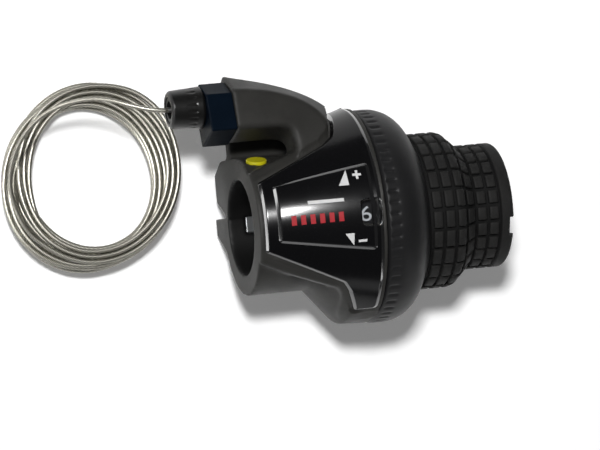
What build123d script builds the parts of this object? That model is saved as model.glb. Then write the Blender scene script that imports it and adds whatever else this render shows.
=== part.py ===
"""Right-hand twist grip shifter for a flat handlebar, with its inner gear cable wound in a loose coil.

Frame: +X runs outboard along the handlebar, +Y forward, +Z up through the gear display. The origin is on the
handlebar's axis, at the clamp's inboard face. All sizes are millimetres.
"""

from build123d import *
import os
from math import cos, degrees, pi, radians, sin, sqrt, tan

# Handlebar, clamp and spigot
bar_radius = 11.1
clamp_fit = 0.07
clamp_length = 16.8
clamp_wall = 4.9
spigot_clearance = 0.25
spigot_wall = 1.05
jaw_face_y = 2.6
jaw_foot_y = -1.4
jaw_depth = 7.2
jaw_side_inset = 0.7
jaw_side_z = 3.0
jaw_root_z = 8.0
upper_jaw_depth = 4.6
upper_jaw_y = 13.0
upper_jaw_proud = 0.3
upper_jaw_corner = 1.7
split_top_z = -9.0
split_throat = 0.6
split_throat_depth = 2.0
split_slant = 1.4
split_gap = 3.8
overcut = 1.0

# Clamp bolt, washer and square nut
bolt_radius = 2.5
bolt_wall = 1.68
bolt_tip_y = -3.6
bolt_end_room = 0.6
bolt_hole_clearance = 0.25
head_radius = 4.25
head_height = 5.0
hex_key_radius = 2.3
hex_key_depth = 2.5
washer_radius = 4.9
washer_thickness = 1.0
nut_side = 8.0
nut_thickness = 4.0
nut_clearance = 0.1

# Cable, drum and the guide that leads it into the arm
cable_radius = 0.6
cable_pull = 3.2
gear_count = 6
take_off_angle = 18.0
take_off_run = 12.2
guide_bend = 13.0
guide_radius = 1.9
guide_bore = 0.95
guide_fit = 0.05
guide_straight = 3.7

# Turning core with its drum, detent ring and number ring
core_bore_fit = 0.05
sleeve_wall = 0.65
core_wall = 2.95
hub_wall = 2.75
drum_wall = 2.03
drum_flange = 2.02
drum_small_flange = 1.12
drum_gap = 0.3
groove_width = 1.7
groove_clearance = 0.2
seat_fit = 0.02
nipple_radius = 2.0
nipple_length = 4.4
nipple_fit = 0.05
nipple_wall = 0.05
nipple_gap = 1.3
thrust_inset = 1.0
thrust_thickness = 0.35
thrust_gap = 0.05
detent_thickness = 1.0
detent_height = 1.6
detent_notch_radius = 1.1
detent_notch_depth = 0.9
number_ring_gap = 0.05
number_ring_length = 4.3
number_ring_room = 0.8
number_ring_wall = 1.2
dust_seal_gap = 0.25
dust_seal_width = 1.0
dust_seal_lip = 2.0
clip_gap = 0.3
clip_thickness = 0.8
clip_depth = 0.5
clip_height = 0.55
clip_clearance = 0.4
clip_gap_angle = 50.0
spigot_tip = 0.6

# Detent leaf spring under the drum
leaf_thickness = 0.4
leaf_half_span = 11.0
leaf_shoulder = 2.4
leaf_shoulder_rise = 1.0
leaf_end_rise = 2.0
leaf_side_clearance = 0.1
leaf_room = 1.7

# Drum chamber at the housing's outboard end
back_wall = 2.8
shoulder_length = 6.5
shoulder_drop = 0.3
chamber_wall = 2.4
cavity_taper = 0.3

# Display pod: a cone about the bar's axis, with the cover, panel and window let into it
pod_start_rise = 1.2
pod_end_rise = 0.9
pod_plate = 3.2
pod_floor_z = 4.0
rim_width = 2.0
pedestal_inset = 0.8
cover_edge_gap = 0.25
cover_recess = 1.0
cover_proud = 0.5
cover_gap = 0.1
cover_corner = 1.6
panel_recess = 0.6
panel_proud = 0.25
panel_gap = 0.05
panel_corner = 2.2
window_y = 0.9
window_width = 3.6
window_height = 5.2
window_corner = 0.6
window_gap = 0.05

# Corners of the cover and the panel: at the left as places along the bar, at the right as distances from the
# cover's right edge, each with its place across the bar
cover_left = [(5.8, -9.2), (0.4, -6.6), (0.4, 10.2), (2.6, 11.2)]
cover_right = [
    (10.35, 16.6),
    (7.35, 18.8),
    (4.75, 27.0),
    (0.0, 27.0),
    (0.0, -22.0),
    (6.35, -22.0),
    (7.05, -16.6),
    (8.75, -14.2),
]
panel_left = [(2.6, -5.2), (2.6, 9.7)]
panel_right = [(0.85, 13.6), (0.85, -9.3)]

# Arm that carries the adjuster: sections at its end, where its bend ends, within the bend and at its root
arm_edge = 1.3
arm_root_run = 6.0
arm_mid_turn = 45.0
arm_bore_length = 5.0
arm_bore_clearance = 0.6
arm_end_section = [(-8.0, 5.8), (1.2, 7.0), (7.6, -0.2), (6.0, -6.0), (-6.5, -6.0), (-8.0, -4.0)]
arm_bend_section = [(-8.0, 5.8), (0.4, 6.4), (5.4, -0.6), (4.6, -6.0), (-6.5, -6.0), (-8.0, -4.0)]
arm_mid_section = [(-7.2, 5.2), (0.5, 5.4), (5.2, -0.8), (4.5, -6.5), (-6.0, -6.5), (-7.2, -4.0)]
arm_root_section = [(-8.0, 4.2), (1.0, 4.6), (7.0, 0.0), (7.0, -7.0), (-7.0, -8.0), (-8.0, -5.0)]

# Web between the clamp and the arm: a shelf off the clamp, and a wall up to the arm
web_inset = 0.4
web_thickness = 3.0
web_floor_z = -6.0
web_root = 3.1
web_wall = 6.2
web_lap = 0.8

# Adjuster: fixed collar, turning barrel and sliding casing stop
collar_length = 6.2
collar_inner = -8.1
collar_top = 6.1
collar_ridge = 0.8
collar_outer = 5.3
collar_outer_top = 1.2
collar_bottom = -5.2
collar_edge = 0.5
collar_fit = 0.05
journal_radius = 4.2
journal_length = 3.7
running_fit = 0.05
barrel_gap = 0.25
barrel_length = 7.65
barrel_base_radius = 4.95
barrel_tip_radius = 4.4
barrel_ribs = 18
barrel_rib_width = 0.7
barrel_rib_depth = 0.3
barrel_plain_tip = 1.6
barrel_edge = 0.5
seal_width = 1.2
seal_depth = 0.45
seal_inset = 1.6
stop_radius = 3.0
stop_bore = 2.1
stop_bore_depth = 8.0
stop_inset = 0.3
stop_tail_side = 3.8
stop_tail_gap = 1.0
stop_cable_bore = 0.95

# Plug on the clamp's forward side
plug_inset = 12.9
plug_angle = 18.0
plug_radius = 2.45
plug_depth = 2.4
plug_proud = 0.35

# Twist ring and rubber grip
ring_gap = 0.35
ring_rise = 0.2
ring_land = 3.65
ring_length = 12.55
ring_end_rise = 0.5
ring_wall = 2.2
ring_edge = 0.8
rib_count = 60
rib_width = 0.9
rib_length = 2.6
rib_depth = 0.35
rubber_gap = 0.2
rubber_length = 21.7
rubber_large_wall = 3.1
rubber_small_wall = 1.7
rubber_plain = 7.4
slope_length = 5.4
core_step_gap = 0.3
knurl_margin = 0.7
knurl_columns = 6
knurl_pitch = 3.0
knurl_rows = 24
knurl_groove = 0.8
knurl_depth = 0.9
lip_length = 2.6
lip_edge = 1.1
lip_notch_angle = 22.0
lip_notch_width = 4.6
lip_notch_depth = 1.2

# Free cable: route of the lead, and the outer shape of the coil that lies on the floor
coil_centre = (-29.9, 15.3)
coil_mean_radius = 19.3
coil_half_width = 3.9
coil_half_height = 3.0
lead_run = 4.0
lead_bend_share = 0.45
lead_points = [
    (-33.0, 34.2, 0.5),
    (-45.6, 30.2, -8.6),
    (-51.6, 17.6, -15.6),
    (-48.6, 4.6, -19.4),
    (-41.2, -1.9, -22.2),
]

# Radii, from the bar outwards
clamp_bore_radius = bar_radius + clamp_fit
clamp_radius = bar_radius + clamp_wall
spigot_bore_radius = bar_radius + spigot_clearance
spigot_radius = spigot_bore_radius + spigot_wall
core_bore_radius = spigot_radius + core_bore_fit
core_small_radius = core_bore_radius + sleeve_wall
core_large_radius = core_bore_radius + core_wall
hub_radius = core_bore_radius + hub_wall
clip_radius = spigot_radius + clip_height
lip_bore_radius = clip_radius + clip_clearance
groove_radius = core_bore_radius + drum_wall
pitch_radius = groove_radius + groove_clearance + cable_radius
click_angle = degrees(cable_pull / pitch_radius)
drum_radius = pitch_radius + drum_flange
drum_small_radius = pitch_radius + drum_small_flange
thrust_radius = drum_small_radius - thrust_inset
cavity_start_radius = drum_small_radius + drum_gap
detent_radius = drum_radius + detent_height
leaf_shoulder_radius = detent_radius + leaf_shoulder_rise
leaf_end_radius = detent_radius + leaf_end_rise
cavity_radius = leaf_end_radius + leaf_room
number_ring_radius = cavity_radius - number_ring_room
dust_seal_inner = cavity_radius - dust_seal_lip
chamber_radius = cavity_radius + chamber_wall
pod_start_radius = clamp_radius + pod_start_rise
pod_end_radius = chamber_radius + pod_end_rise
ring_radius = chamber_radius + ring_rise
rubber_large_radius = core_large_radius + rubber_large_wall
rubber_small_radius = core_small_radius + rubber_small_wall
ring_end_radius = rubber_large_radius + ring_end_rise
floor_z = -ring_radius

# Places along the bar, from the clamp outboard
back_wall_x = clamp_length
chamber_start_x = back_wall_x - back_wall
core_start_x = back_wall_x + thrust_thickness + thrust_gap
groove_x = core_start_x + nipple_radius + nipple_fit + nipple_wall
drum_end_x = groove_x + nipple_radius + nipple_fit + nipple_wall
detent_start_x = drum_end_x
detent_end_x = detent_start_x + detent_thickness
number_ring_start_x = detent_end_x + number_ring_gap
number_ring_end_x = number_ring_start_x + number_ring_length
window_x = number_ring_start_x + number_ring_length / 2
housing_edge_x = number_ring_end_x + dust_seal_gap + dust_seal_width
shoulder_x = housing_edge_x - shoulder_length
cover_right_x = housing_edge_x - cover_edge_gap
ring_start_x = housing_edge_x + ring_gap
ring_land_end_x = ring_start_x + ring_land
ring_end_x = ring_start_x + ring_length
ring_shoulder = (ring_end_x - ring_edge, ring_end_radius)
rubber_start_x = ring_end_x + rubber_gap
rubber_end_x = rubber_start_x + rubber_length
slope_start_x = rubber_start_x + rubber_plain
slope_end_x = slope_start_x + slope_length
knurl_start_x = rubber_start_x + knurl_margin
knurl_end_x = knurl_start_x + knurl_columns * knurl_pitch
core_step_x = slope_start_x + core_step_gap
core_end_x = rubber_end_x - lip_length
clip_x = core_end_x + clip_gap
spigot_end_x = clip_x + clip_thickness + spigot_tip

# Clamp bolt's place, below the bore
bolt_x = clamp_length / 2
bolt_z = -(clamp_bore_radius + bolt_wall + bolt_hole_clearance + bolt_radius)
bolt_seat_y = upper_jaw_y + washer_thickness
jaw_bottom_z = bolt_z - jaw_depth
upper_jaw_z = bolt_z - upper_jaw_depth
split_throat_z = -(clamp_bore_radius + split_throat_depth)

# Cable route inside the shifter: round the drum, off it, through the bend and out along the arm
take_off_sin = sin(radians(take_off_angle))
take_off_cos = cos(radians(take_off_angle))
outward = Vector(0, take_off_cos, -take_off_sin)
upward = Vector(0, take_off_sin, take_off_cos)
inboard = Vector(-1, 0, 0)
take_off = Vector(groove_x, 0, 0) + upward * pitch_radius
bend_start = take_off + outward * take_off_run
bend_middle = bend_start + inboard * guide_bend
bend_end = bend_middle + outward * guide_bend
bend_half = bend_middle + (inboard * -1 + outward).normalized() * guide_bend
barrel_y = bend_end.Y
barrel_z = bend_end.Z
nipple_turn = degrees((nipple_length / 2 + nipple_gap) / pitch_radius)
cable_start_angle = take_off_angle - click_angle / 2
nipple_angle = cable_start_angle - nipple_turn

# Places along the arm, from the bend inboard
guide_end_x = bend_end.X - guide_straight
collar_start_x = guide_end_x - arm_bore_length
arm_end_x = collar_start_x + collar_fit
collar_end_x = collar_start_x - collar_length
journal_end_x = collar_end_x + journal_length
seal_x = collar_end_x + seal_inset
barrel_base_x = collar_end_x - barrel_gap
barrel_tip_x = barrel_base_x - barrel_length
stop_tail_end_x = guide_end_x - stop_tail_gap
arm_bore_radius = stop_tail_side / sqrt(2) + arm_bore_clearance

os.makedirs("parts", exist_ok=True)


def across_arm(x):
    """Section plane across the arm's straight stretch: local x outward, local y upward."""
    return Plane(origin=(x, barrel_y, barrel_z), x_dir=outward, z_dir=(1, 0, 0))


def across_bend(turn):
    """Section plane across the guide's bend, turned from the drum's plane towards the arm."""
    side = inboard * -cos(radians(turn)) + outward * sin(radians(turn))
    return Plane(origin=bend_middle + side * guide_bend, x_dir=side, z_dir=side.cross(upward))


def cone_profile(lift):
    """Half section of the pod's cone, raised by lift."""
    with BuildLine() as line:
        Polyline(
            (0, 0),
            (0, pod_start_radius + lift),
            (housing_edge_x, pod_end_radius + lift),
            (housing_edge_x, 0),
            close=True,
        )
    return line.line


def on_drum(angle):
    """Point of the cable's centre line on the drum, at an angle from the top towards the front."""
    return Vector(groove_x, pitch_radius * sin(radians(angle)), pitch_radius * cos(radians(angle)))


def drum_tangent(angle):
    """Direction of the cable on the drum, towards the front."""
    return Vector(0, cos(radians(angle)), -sin(radians(angle)))


# Outlines
cover_outline = cover_left + [(cover_right_x - inset, y) for inset, y in cover_right]
panel_outline = panel_left + [(cover_right_x - inset, y) for inset, y in panel_right]
arm_outlines = [
    (across_arm(arm_end_x), arm_end_section),
    (across_arm(bend_end.X), arm_bend_section),
    (across_bend(arm_mid_turn), arm_mid_section),
    (across_bend(0), arm_root_section),
]
collar_outline = [
    (collar_inner, collar_bottom),
    (collar_inner, collar_top),
    (collar_ridge, collar_top),
    (collar_outer, collar_outer_top),
    (collar_outer, collar_bottom),
]
web_inner_y = clamp_radius - web_root
web_wall_y = barrel_y - web_wall
web_top_z = barrel_z + min(z for y, z in arm_end_section) + web_lap
web_outline = [
    (web_inner_y, web_floor_z - web_thickness),
    (web_wall_y + web_thickness, web_floor_z - web_thickness),
    (web_wall_y + web_thickness, web_top_z),
    (web_wall_y, web_top_z),
    (web_wall_y, web_floor_z),
    (web_inner_y, web_floor_z),
]
leaf_nose_z = -(detent_radius - detent_notch_depth + leaf_thickness)
leaf_end_z = -sqrt(leaf_end_radius**2 - leaf_half_span**2)
leaf_upper = [
    (-leaf_half_span, leaf_end_z),
    (-leaf_shoulder, -leaf_shoulder_radius),
    (0, leaf_nose_z),
    (leaf_shoulder, -leaf_shoulder_radius),
    (leaf_half_span, leaf_end_z),
]
leaf_lower = [(y, z - leaf_thickness) for y, z in reversed(leaf_upper)]

# Planes and lines of the plug, the nipple and the cable
plug_direction = Vector(0, cos(radians(plug_angle)), sin(radians(plug_angle)))
plug_centre = Vector(clamp_length - plug_inset, 0, 0) + plug_direction * clamp_radius
plug_plane = Plane(origin=plug_centre, x_dir=(1, 0, 0), z_dir=plug_direction)
nipple_plane = Plane(origin=on_drum(nipple_angle), x_dir=(1, 0, 0), z_dir=drum_tangent(nipple_angle) * -1)
cable_start_plane = Plane(
    origin=on_drum(cable_start_angle), x_dir=(1, 0, 0), z_dir=drum_tangent(cable_start_angle)
)
guide_start_plane = Plane(origin=bend_start, x_dir=inboard * -1, z_dir=outward)
channel_start_plane = guide_start_plane.offset(-arm_root_run)
lead_start = Vector(barrel_tip_x, barrel_y, barrel_z)
lead_route = [lead_start, lead_start + inboard * lead_run] + [Vector(*point) for point in lead_points]
lead_runs = [after - before for before, after in zip(lead_route, lead_route[1:])]
lead_radii = [
    lead_bend_share * min(before.length, after.length) / tan(radians(before.get_angle(after) / 2))
    for before, after in zip(lead_runs, lead_runs[1:])
]
with BuildLine() as cable_line:
    ThreePointArc(on_drum(cable_start_angle), on_drum((cable_start_angle + take_off_angle) / 2), take_off)
    Line(take_off, bend_start)
    ThreePointArc(bend_start, bend_half, bend_end)
    Line(bend_end, lead_route[0])
with BuildLine() as guide_line:
    ThreePointArc(bend_start, bend_half, bend_end)
    Line(bend_end, (guide_end_x, barrel_y, barrel_z))
with BuildLine() as channel_line:
    Line(bend_start - outward * arm_root_run, bend_start)
    ThreePointArc(bend_start, bend_half, bend_end)
    Line(bend_end, (guide_end_x, barrel_y, barrel_z))

# Cover zone: everything above the cover's seat, inside the cover's outline
with BuildPart() as cover_zone:
    with BuildSketch(Plane.XY):
        with BuildLine():
            Polyline(*cover_outline, close=True)
        make_face()
        fillet(vertices(), cover_corner)
        offset(amount=cover_gap)
    extrude(amount=2 * chamber_radius)
    with BuildSketch(Plane.XZ):
        add(cone_profile(-cover_recess))
        make_face()
    revolve(axis=Axis.X, mode=Mode.SUBTRACT)

# Panel zone: everything above the panel's seat, inside the panel's outline
with BuildPart() as panel_zone:
    with BuildSketch(Plane.XY):
        with BuildLine():
            Polyline(*panel_outline, close=True)
        make_face()
        fillet(vertices(), panel_corner)
        offset(amount=panel_gap)
    extrude(amount=2 * chamber_radius)
    with BuildSketch(Plane.XZ):
        add(cone_profile(cover_proud - panel_recess))
        make_face()
    revolve(axis=Axis.X, mode=Mode.SUBTRACT)

# Arm blank: sections from its open end round the bend to its root in the drum chamber
with BuildPart() as arm_blank:
    for plane, outline in arm_outlines:
        with BuildSketch(plane):
            with BuildLine():
                Polyline(*outline, close=True)
            make_face()
            fillet(vertices(), arm_edge)
    loft()
    with BuildSketch(across_bend(0)):
        with BuildLine():
            Polyline(*arm_outlines[-1][1], close=True)
        make_face()
        fillet(vertices(), arm_edge)
    extrude(amount=arm_root_run)

# Display pod: a plate with an overhanging rim, on a narrower pedestal
with BuildPart() as pod_blank:
    with BuildSketch(Plane.XZ):
        add(cone_profile(0))
        make_face()
    revolve(axis=Axis.X)
    with BuildSketch(Plane.XZ):
        add(cone_profile(-pod_plate))
        make_face()
    revolve(axis=Axis.X, mode=Mode.SUBTRACT)
    with BuildSketch(Plane.XY.offset(pod_floor_z)):
        with BuildLine():
            Polyline(*cover_outline, close=True)
        make_face()
        fillet(vertices(), cover_corner)
        offset(amount=rim_width)
    extrude(amount=2 * chamber_radius, mode=Mode.INTERSECT)

with BuildPart() as pedestal_blank:
    with BuildSketch(Plane.XZ):
        add(cone_profile(-pod_plate / 2))
        make_face()
    revolve(axis=Axis.X)
    with BuildSketch(Plane.XY.offset(pod_floor_z)):
        with BuildLine():
            Polyline(*cover_outline, close=True)
        make_face()
        fillet(vertices(), cover_corner)
        offset(amount=-pedestal_inset)
    extrude(amount=2 * chamber_radius, mode=Mode.INTERSECT)

# Housing: clamp, spigot, drum chamber, pod and arm in one moulding
with BuildPart() as housing:
    with BuildSketch(Plane.YZ):
        Circle(clamp_radius)
        with BuildLine():
            Polyline(
                (jaw_face_y, 0),
                (jaw_face_y, jaw_bottom_z),
                (jaw_foot_y, jaw_bottom_z),
                (jaw_side_inset - clamp_radius, jaw_side_z),
                (0, jaw_root_z),
                close=True,
            )
        make_face()
        with BuildLine():
            Polyline(
                (0, 0),
                (0, -clamp_radius),
                (split_gap + jaw_face_y, upper_jaw_z),
                (upper_jaw_y, upper_jaw_z),
                (clamp_radius + upper_jaw_proud, bolt_z + upper_jaw_corner),
                (clamp_radius + upper_jaw_proud, 0),
                close=True,
            )
        make_face()
    extrude(amount=clamp_length)
    with BuildSketch(Plane.XZ):
        with BuildLine():
            Polyline(
                (chamber_start_x, 0),
                (chamber_start_x, clamp_radius),
                (shoulder_x, chamber_radius - shoulder_drop),
                (housing_edge_x, chamber_radius),
                (housing_edge_x, 0),
                close=True,
            )
        make_face()
    revolve(axis=Axis.X)
    add(pod_blank.part)
    add(pedestal_blank.part)
    add(arm_blank.part)
    with BuildSketch(Plane.YZ.offset(web_inset)):
        with BuildLine():
            Polyline(*web_outline, close=True)
        make_face()
    extrude(amount=clamp_length - web_inset)
    with BuildSketch(Plane.XZ):
        with BuildLine():
            Polyline(
                (back_wall_x, 0),
                (back_wall_x, cavity_start_radius),
                (detent_end_x, cavity_radius - cavity_taper),
                (number_ring_start_x + number_ring_wall, cavity_radius),
                (housing_edge_x + overcut, cavity_radius),
                (housing_edge_x + overcut, 0),
                close=True,
            )
        make_face()
    revolve(axis=Axis.X, mode=Mode.SUBTRACT)
    with BuildSketch(Plane.YZ.offset(chamber_start_x)):
        Circle(spigot_radius)
    extrude(amount=spigot_end_x - chamber_start_x)
    with BuildSketch(Plane.YZ):
        Circle(clamp_bore_radius)
    extrude(amount=clamp_length, mode=Mode.SUBTRACT)
    with BuildSketch(Plane.YZ.offset(clamp_length)):
        Circle(spigot_bore_radius)
    extrude(amount=spigot_end_x, mode=Mode.SUBTRACT)
    with BuildSketch(Plane.YZ):
        with BuildLine():
            Polyline(
                (jaw_face_y - split_slant, split_top_z),
                (jaw_face_y, split_throat_z),
                (jaw_face_y, 2 * jaw_bottom_z),
                (jaw_face_y + split_gap, 2 * jaw_bottom_z),
                (jaw_face_y + split_gap, upper_jaw_z),
                (jaw_face_y + split_throat, split_throat_z),
                (jaw_face_y + split_throat - split_slant, split_top_z),
                close=True,
            )
        make_face()
    extrude(amount=clamp_length, mode=Mode.SUBTRACT)
    add(cover_zone.part, mode=Mode.SUBTRACT)
    with BuildSketch(channel_start_plane):
        Circle(guide_radius + guide_fit)
    sweep(path=channel_line.line, mode=Mode.SUBTRACT)
    with BuildSketch(across_arm(collar_start_x)):
        Circle(arm_bore_radius)
    extrude(amount=guide_end_x - collar_start_x, mode=Mode.SUBTRACT)
    with BuildSketch(Plane.XZ.offset(bolt_end_room - bolt_tip_y)):
        with Locations((bolt_x, bolt_z)):
            Circle(bolt_radius + bolt_hole_clearance)
    extrude(amount=bolt_tip_y - 2 * upper_jaw_y, mode=Mode.SUBTRACT)
    with BuildSketch(Plane.XZ.offset(-jaw_face_y - nut_clearance)):
        with Locations((bolt_x, bolt_z)):
            Rectangle(nut_side + 2 * nut_clearance, nut_side + 2 * nut_clearance)
    extrude(amount=nut_thickness + 2 * nut_clearance, mode=Mode.SUBTRACT)
    with BuildSketch(Plane.XZ.offset(-jaw_face_y - nut_clearance)):
        with Locations((bolt_x, bolt_z + nut_side / 2)):
            Rectangle(nut_side + 2 * nut_clearance, nut_side)
    extrude(amount=nut_thickness + 2 * nut_clearance, mode=Mode.SUBTRACT)
    with BuildSketch(Plane.XZ.offset(-upper_jaw_y)):
        with Locations((bolt_x, bolt_z)):
            Circle(washer_radius + bolt_hole_clearance)
    extrude(amount=-clamp_radius, mode=Mode.SUBTRACT)
    with BuildSketch(plug_plane.offset(-plug_depth)):
        Circle(plug_radius)
    extrude(amount=2 * plug_depth, mode=Mode.SUBTRACT)
    with BuildSketch(Plane.XY):
        with Locations((window_x, window_y)):
            RectangleRounded(window_width, window_height, window_corner)
    extrude(amount=2 * chamber_radius, mode=Mode.SUBTRACT)
    with BuildSketch(Plane.YZ.offset(clip_x)):
        Circle(spigot_radius + overcut)
        Circle(spigot_radius - clip_depth, mode=Mode.SUBTRACT)
    extrude(amount=clip_thickness, mode=Mode.SUBTRACT)

# Display cover, panel and clear window
with BuildPart() as display_cover:
    with BuildSketch(Plane.XZ):
        add(cone_profile(cover_proud))
        make_face()
    revolve(axis=Axis.X)
    with BuildSketch(Plane.XZ):
        add(cone_profile(-cover_recess))
        make_face()
    revolve(axis=Axis.X, mode=Mode.SUBTRACT)
    with BuildSketch(Plane.XY):
        with BuildLine():
            Polyline(*cover_outline, close=True)
        make_face()
        fillet(vertices(), cover_corner)
    extrude(amount=2 * chamber_radius, mode=Mode.INTERSECT)
    add(panel_zone.part, mode=Mode.SUBTRACT)
    with BuildSketch(Plane.XY):
        with Locations((window_x, window_y)):
            RectangleRounded(window_width, window_height, window_corner)
    extrude(amount=2 * chamber_radius, mode=Mode.SUBTRACT)

with BuildPart() as display_panel:
    with BuildSketch(Plane.XZ):
        add(cone_profile(cover_proud + panel_proud))
        make_face()
    revolve(axis=Axis.X)
    with BuildSketch(Plane.XZ):
        add(cone_profile(cover_proud - panel_recess))
        make_face()
    revolve(axis=Axis.X, mode=Mode.SUBTRACT)
    with BuildSketch(Plane.XY):
        with BuildLine():
            Polyline(*panel_outline, close=True)
        make_face()
        fillet(vertices(), panel_corner)
    extrude(amount=2 * chamber_radius, mode=Mode.INTERSECT)
    with BuildSketch(Plane.XY):
        with Locations((window_x, window_y)):
            RectangleRounded(window_width, window_height, window_corner)
    extrude(amount=2 * chamber_radius, mode=Mode.SUBTRACT)

with BuildPart() as gear_window:
    with BuildSketch(Plane.XZ):
        add(cone_profile(cover_proud + panel_proud))
        make_face()
    revolve(axis=Axis.X)
    with BuildSketch(Plane.XZ):
        add(cone_profile(-cover_recess))
        make_face()
    revolve(axis=Axis.X, mode=Mode.SUBTRACT)
    with BuildSketch(Plane.XY):
        with Locations((window_x, window_y)):
            RectangleRounded(
                window_width - 2 * window_gap, window_height - 2 * window_gap, window_corner - window_gap
            )
    extrude(amount=2 * chamber_radius, mode=Mode.INTERSECT)

# Clamp hardware
with BuildPart() as clamp_bolt:
    with BuildSketch(Plane.XZ.offset(-bolt_tip_y)):
        with Locations((bolt_x, bolt_z)):
            Circle(bolt_radius)
    extrude(amount=bolt_tip_y - bolt_seat_y)
    with BuildSketch(Plane.XZ.offset(-bolt_seat_y)):
        with Locations((bolt_x, bolt_z)):
            Circle(head_radius)
    extrude(amount=-head_height)
    with BuildSketch(Plane.XZ.offset(-bolt_seat_y - head_height)):
        with Locations((bolt_x, bolt_z)):
            RegularPolygon(hex_key_radius, 6)
    extrude(amount=hex_key_depth, mode=Mode.SUBTRACT)

with BuildPart() as clamp_washer:
    with BuildSketch(Plane.XZ.offset(-upper_jaw_y)):
        with Locations((bolt_x, bolt_z)):
            Circle(washer_radius)
            Circle(bolt_radius + bolt_hole_clearance, mode=Mode.SUBTRACT)
    extrude(amount=-washer_thickness)

with BuildPart() as clamp_nut:
    with BuildSketch(Plane.XZ.offset(-jaw_face_y)):
        with Locations((bolt_x, bolt_z)):
            Rectangle(nut_side, nut_side)
            Circle(bolt_radius + seat_fit, mode=Mode.SUBTRACT)
    extrude(amount=nut_thickness)

with BuildPart() as cable_port_plug:
    with BuildSketch(plug_plane.offset(plug_proud)):
        Circle(plug_radius - seat_fit)
    extrude(amount=-plug_depth - plug_proud + seat_fit)

# Adjuster at the arm's end
with BuildPart() as adjuster_collar:
    with BuildSketch(across_arm(collar_start_x)):
        with BuildLine():
            Polyline(*collar_outline, close=True)
        make_face()
        fillet(vertices(), collar_edge)
    extrude(amount=collar_end_x - collar_start_x)
    with BuildSketch(across_arm(collar_end_x)):
        Circle(journal_radius + running_fit)
    extrude(amount=journal_end_x - collar_end_x + running_fit, mode=Mode.SUBTRACT)
    with BuildSketch(across_arm(collar_end_x)):
        Rectangle(stop_tail_side + 2 * running_fit, stop_tail_side + 2 * running_fit)
    extrude(amount=collar_start_x - collar_end_x, mode=Mode.SUBTRACT)

with BuildPart() as adjuster_barrel:
    with BuildSketch(across_arm(barrel_base_x)):
        Circle(barrel_base_radius)
    with BuildSketch(across_arm(barrel_tip_x)):
        Circle(barrel_tip_radius)
    loft()
    chamfer(edges().group_by(Axis.X)[0], barrel_edge)
    with BuildSketch(across_arm(barrel_tip_x + barrel_plain_tip)):
        with PolarLocations(barrel_base_radius, barrel_ribs):
            Rectangle(2 * barrel_rib_depth, barrel_rib_width)
    extrude(amount=barrel_base_x - barrel_tip_x - 2 * barrel_plain_tip, mode=Mode.SUBTRACT)
    with BuildSketch(across_arm(barrel_base_x)):
        Circle(journal_radius)
    extrude(amount=journal_end_x - barrel_base_x)
    with BuildSketch(across_arm(seal_x - seal_width / 2)):
        Circle(journal_radius + running_fit)
        Circle(journal_radius - seal_depth, mode=Mode.SUBTRACT)
    extrude(amount=seal_width, mode=Mode.SUBTRACT)
    with BuildSketch(across_arm(barrel_tip_x)):
        Circle(stop_radius + running_fit)
    extrude(amount=journal_end_x - barrel_tip_x, mode=Mode.SUBTRACT)

with BuildPart() as barrel_seal:
    with BuildSketch(across_arm(seal_x - seal_width / 2 + seat_fit)):
        Circle(journal_radius)
        Circle(journal_radius - seal_depth + seat_fit, mode=Mode.SUBTRACT)
    extrude(amount=seal_width - 2 * seat_fit)

with BuildPart() as casing_stop:
    with BuildSketch(across_arm(barrel_tip_x + stop_inset)):
        Circle(stop_radius)
    extrude(amount=journal_end_x - barrel_tip_x - stop_inset)
    with BuildSketch(across_arm(journal_end_x)):
        Rectangle(stop_tail_side, stop_tail_side)
    extrude(amount=stop_tail_end_x - journal_end_x)
    with BuildSketch(across_arm(barrel_tip_x + stop_inset)):
        Circle(stop_bore)
    extrude(amount=stop_bore_depth, mode=Mode.SUBTRACT)
    with BuildSketch(across_arm(barrel_tip_x + stop_inset)):
        Circle(stop_cable_bore)
    extrude(amount=stop_tail_end_x - barrel_tip_x, mode=Mode.SUBTRACT)

# Cable guide and the cable inside the shifter
with BuildPart() as cable_guide:
    with BuildSketch(guide_start_plane):
        Circle(guide_radius)
        Circle(guide_bore, mode=Mode.SUBTRACT)
    sweep(path=guide_line.line)

with BuildPart() as inner_cable:
    with BuildSketch(cable_start_plane):
        Circle(cable_radius)
    sweep(path=cable_line.line)

# Turning core: cable drum, hub and grip sleeve, on the spigot
with BuildPart() as grip_core:
    with BuildSketch(Plane.XZ):
        with BuildLine():
            Polyline(
                (core_start_x, core_bore_radius),
                (core_start_x, drum_small_radius),
                (groove_x - groove_width / 2, drum_small_radius),
                (groove_x - groove_width / 2, groove_radius),
                (groove_x + groove_width / 2, groove_radius),
                (groove_x + groove_width / 2, drum_radius),
                (drum_end_x, drum_radius),
                (drum_end_x, hub_radius),
                (ring_start_x, hub_radius),
                (ring_start_x, core_large_radius),
                (core_step_x, core_large_radius),
                (core_step_x, core_small_radius),
                (core_end_x, core_small_radius),
                (core_end_x, core_bore_radius),
                close=True,
            )
        make_face()
    revolve(axis=Axis.X)
    with BuildSketch(nipple_plane):
        Circle(nipple_radius + nipple_fit)
    extrude(amount=nipple_length / 2 + nipple_fit, both=True, mode=Mode.SUBTRACT)
    with BuildSketch(nipple_plane):
        with Locations((0, nipple_radius)):
            Rectangle(2 * nipple_radius, 2 * nipple_radius)
    extrude(amount=nipple_length / 2 + nipple_fit, both=True, mode=Mode.SUBTRACT)

with BuildPart() as cable_nipple:
    with BuildSketch(nipple_plane):
        Circle(nipple_radius)
    extrude(amount=nipple_length / 2, both=True)

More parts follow.
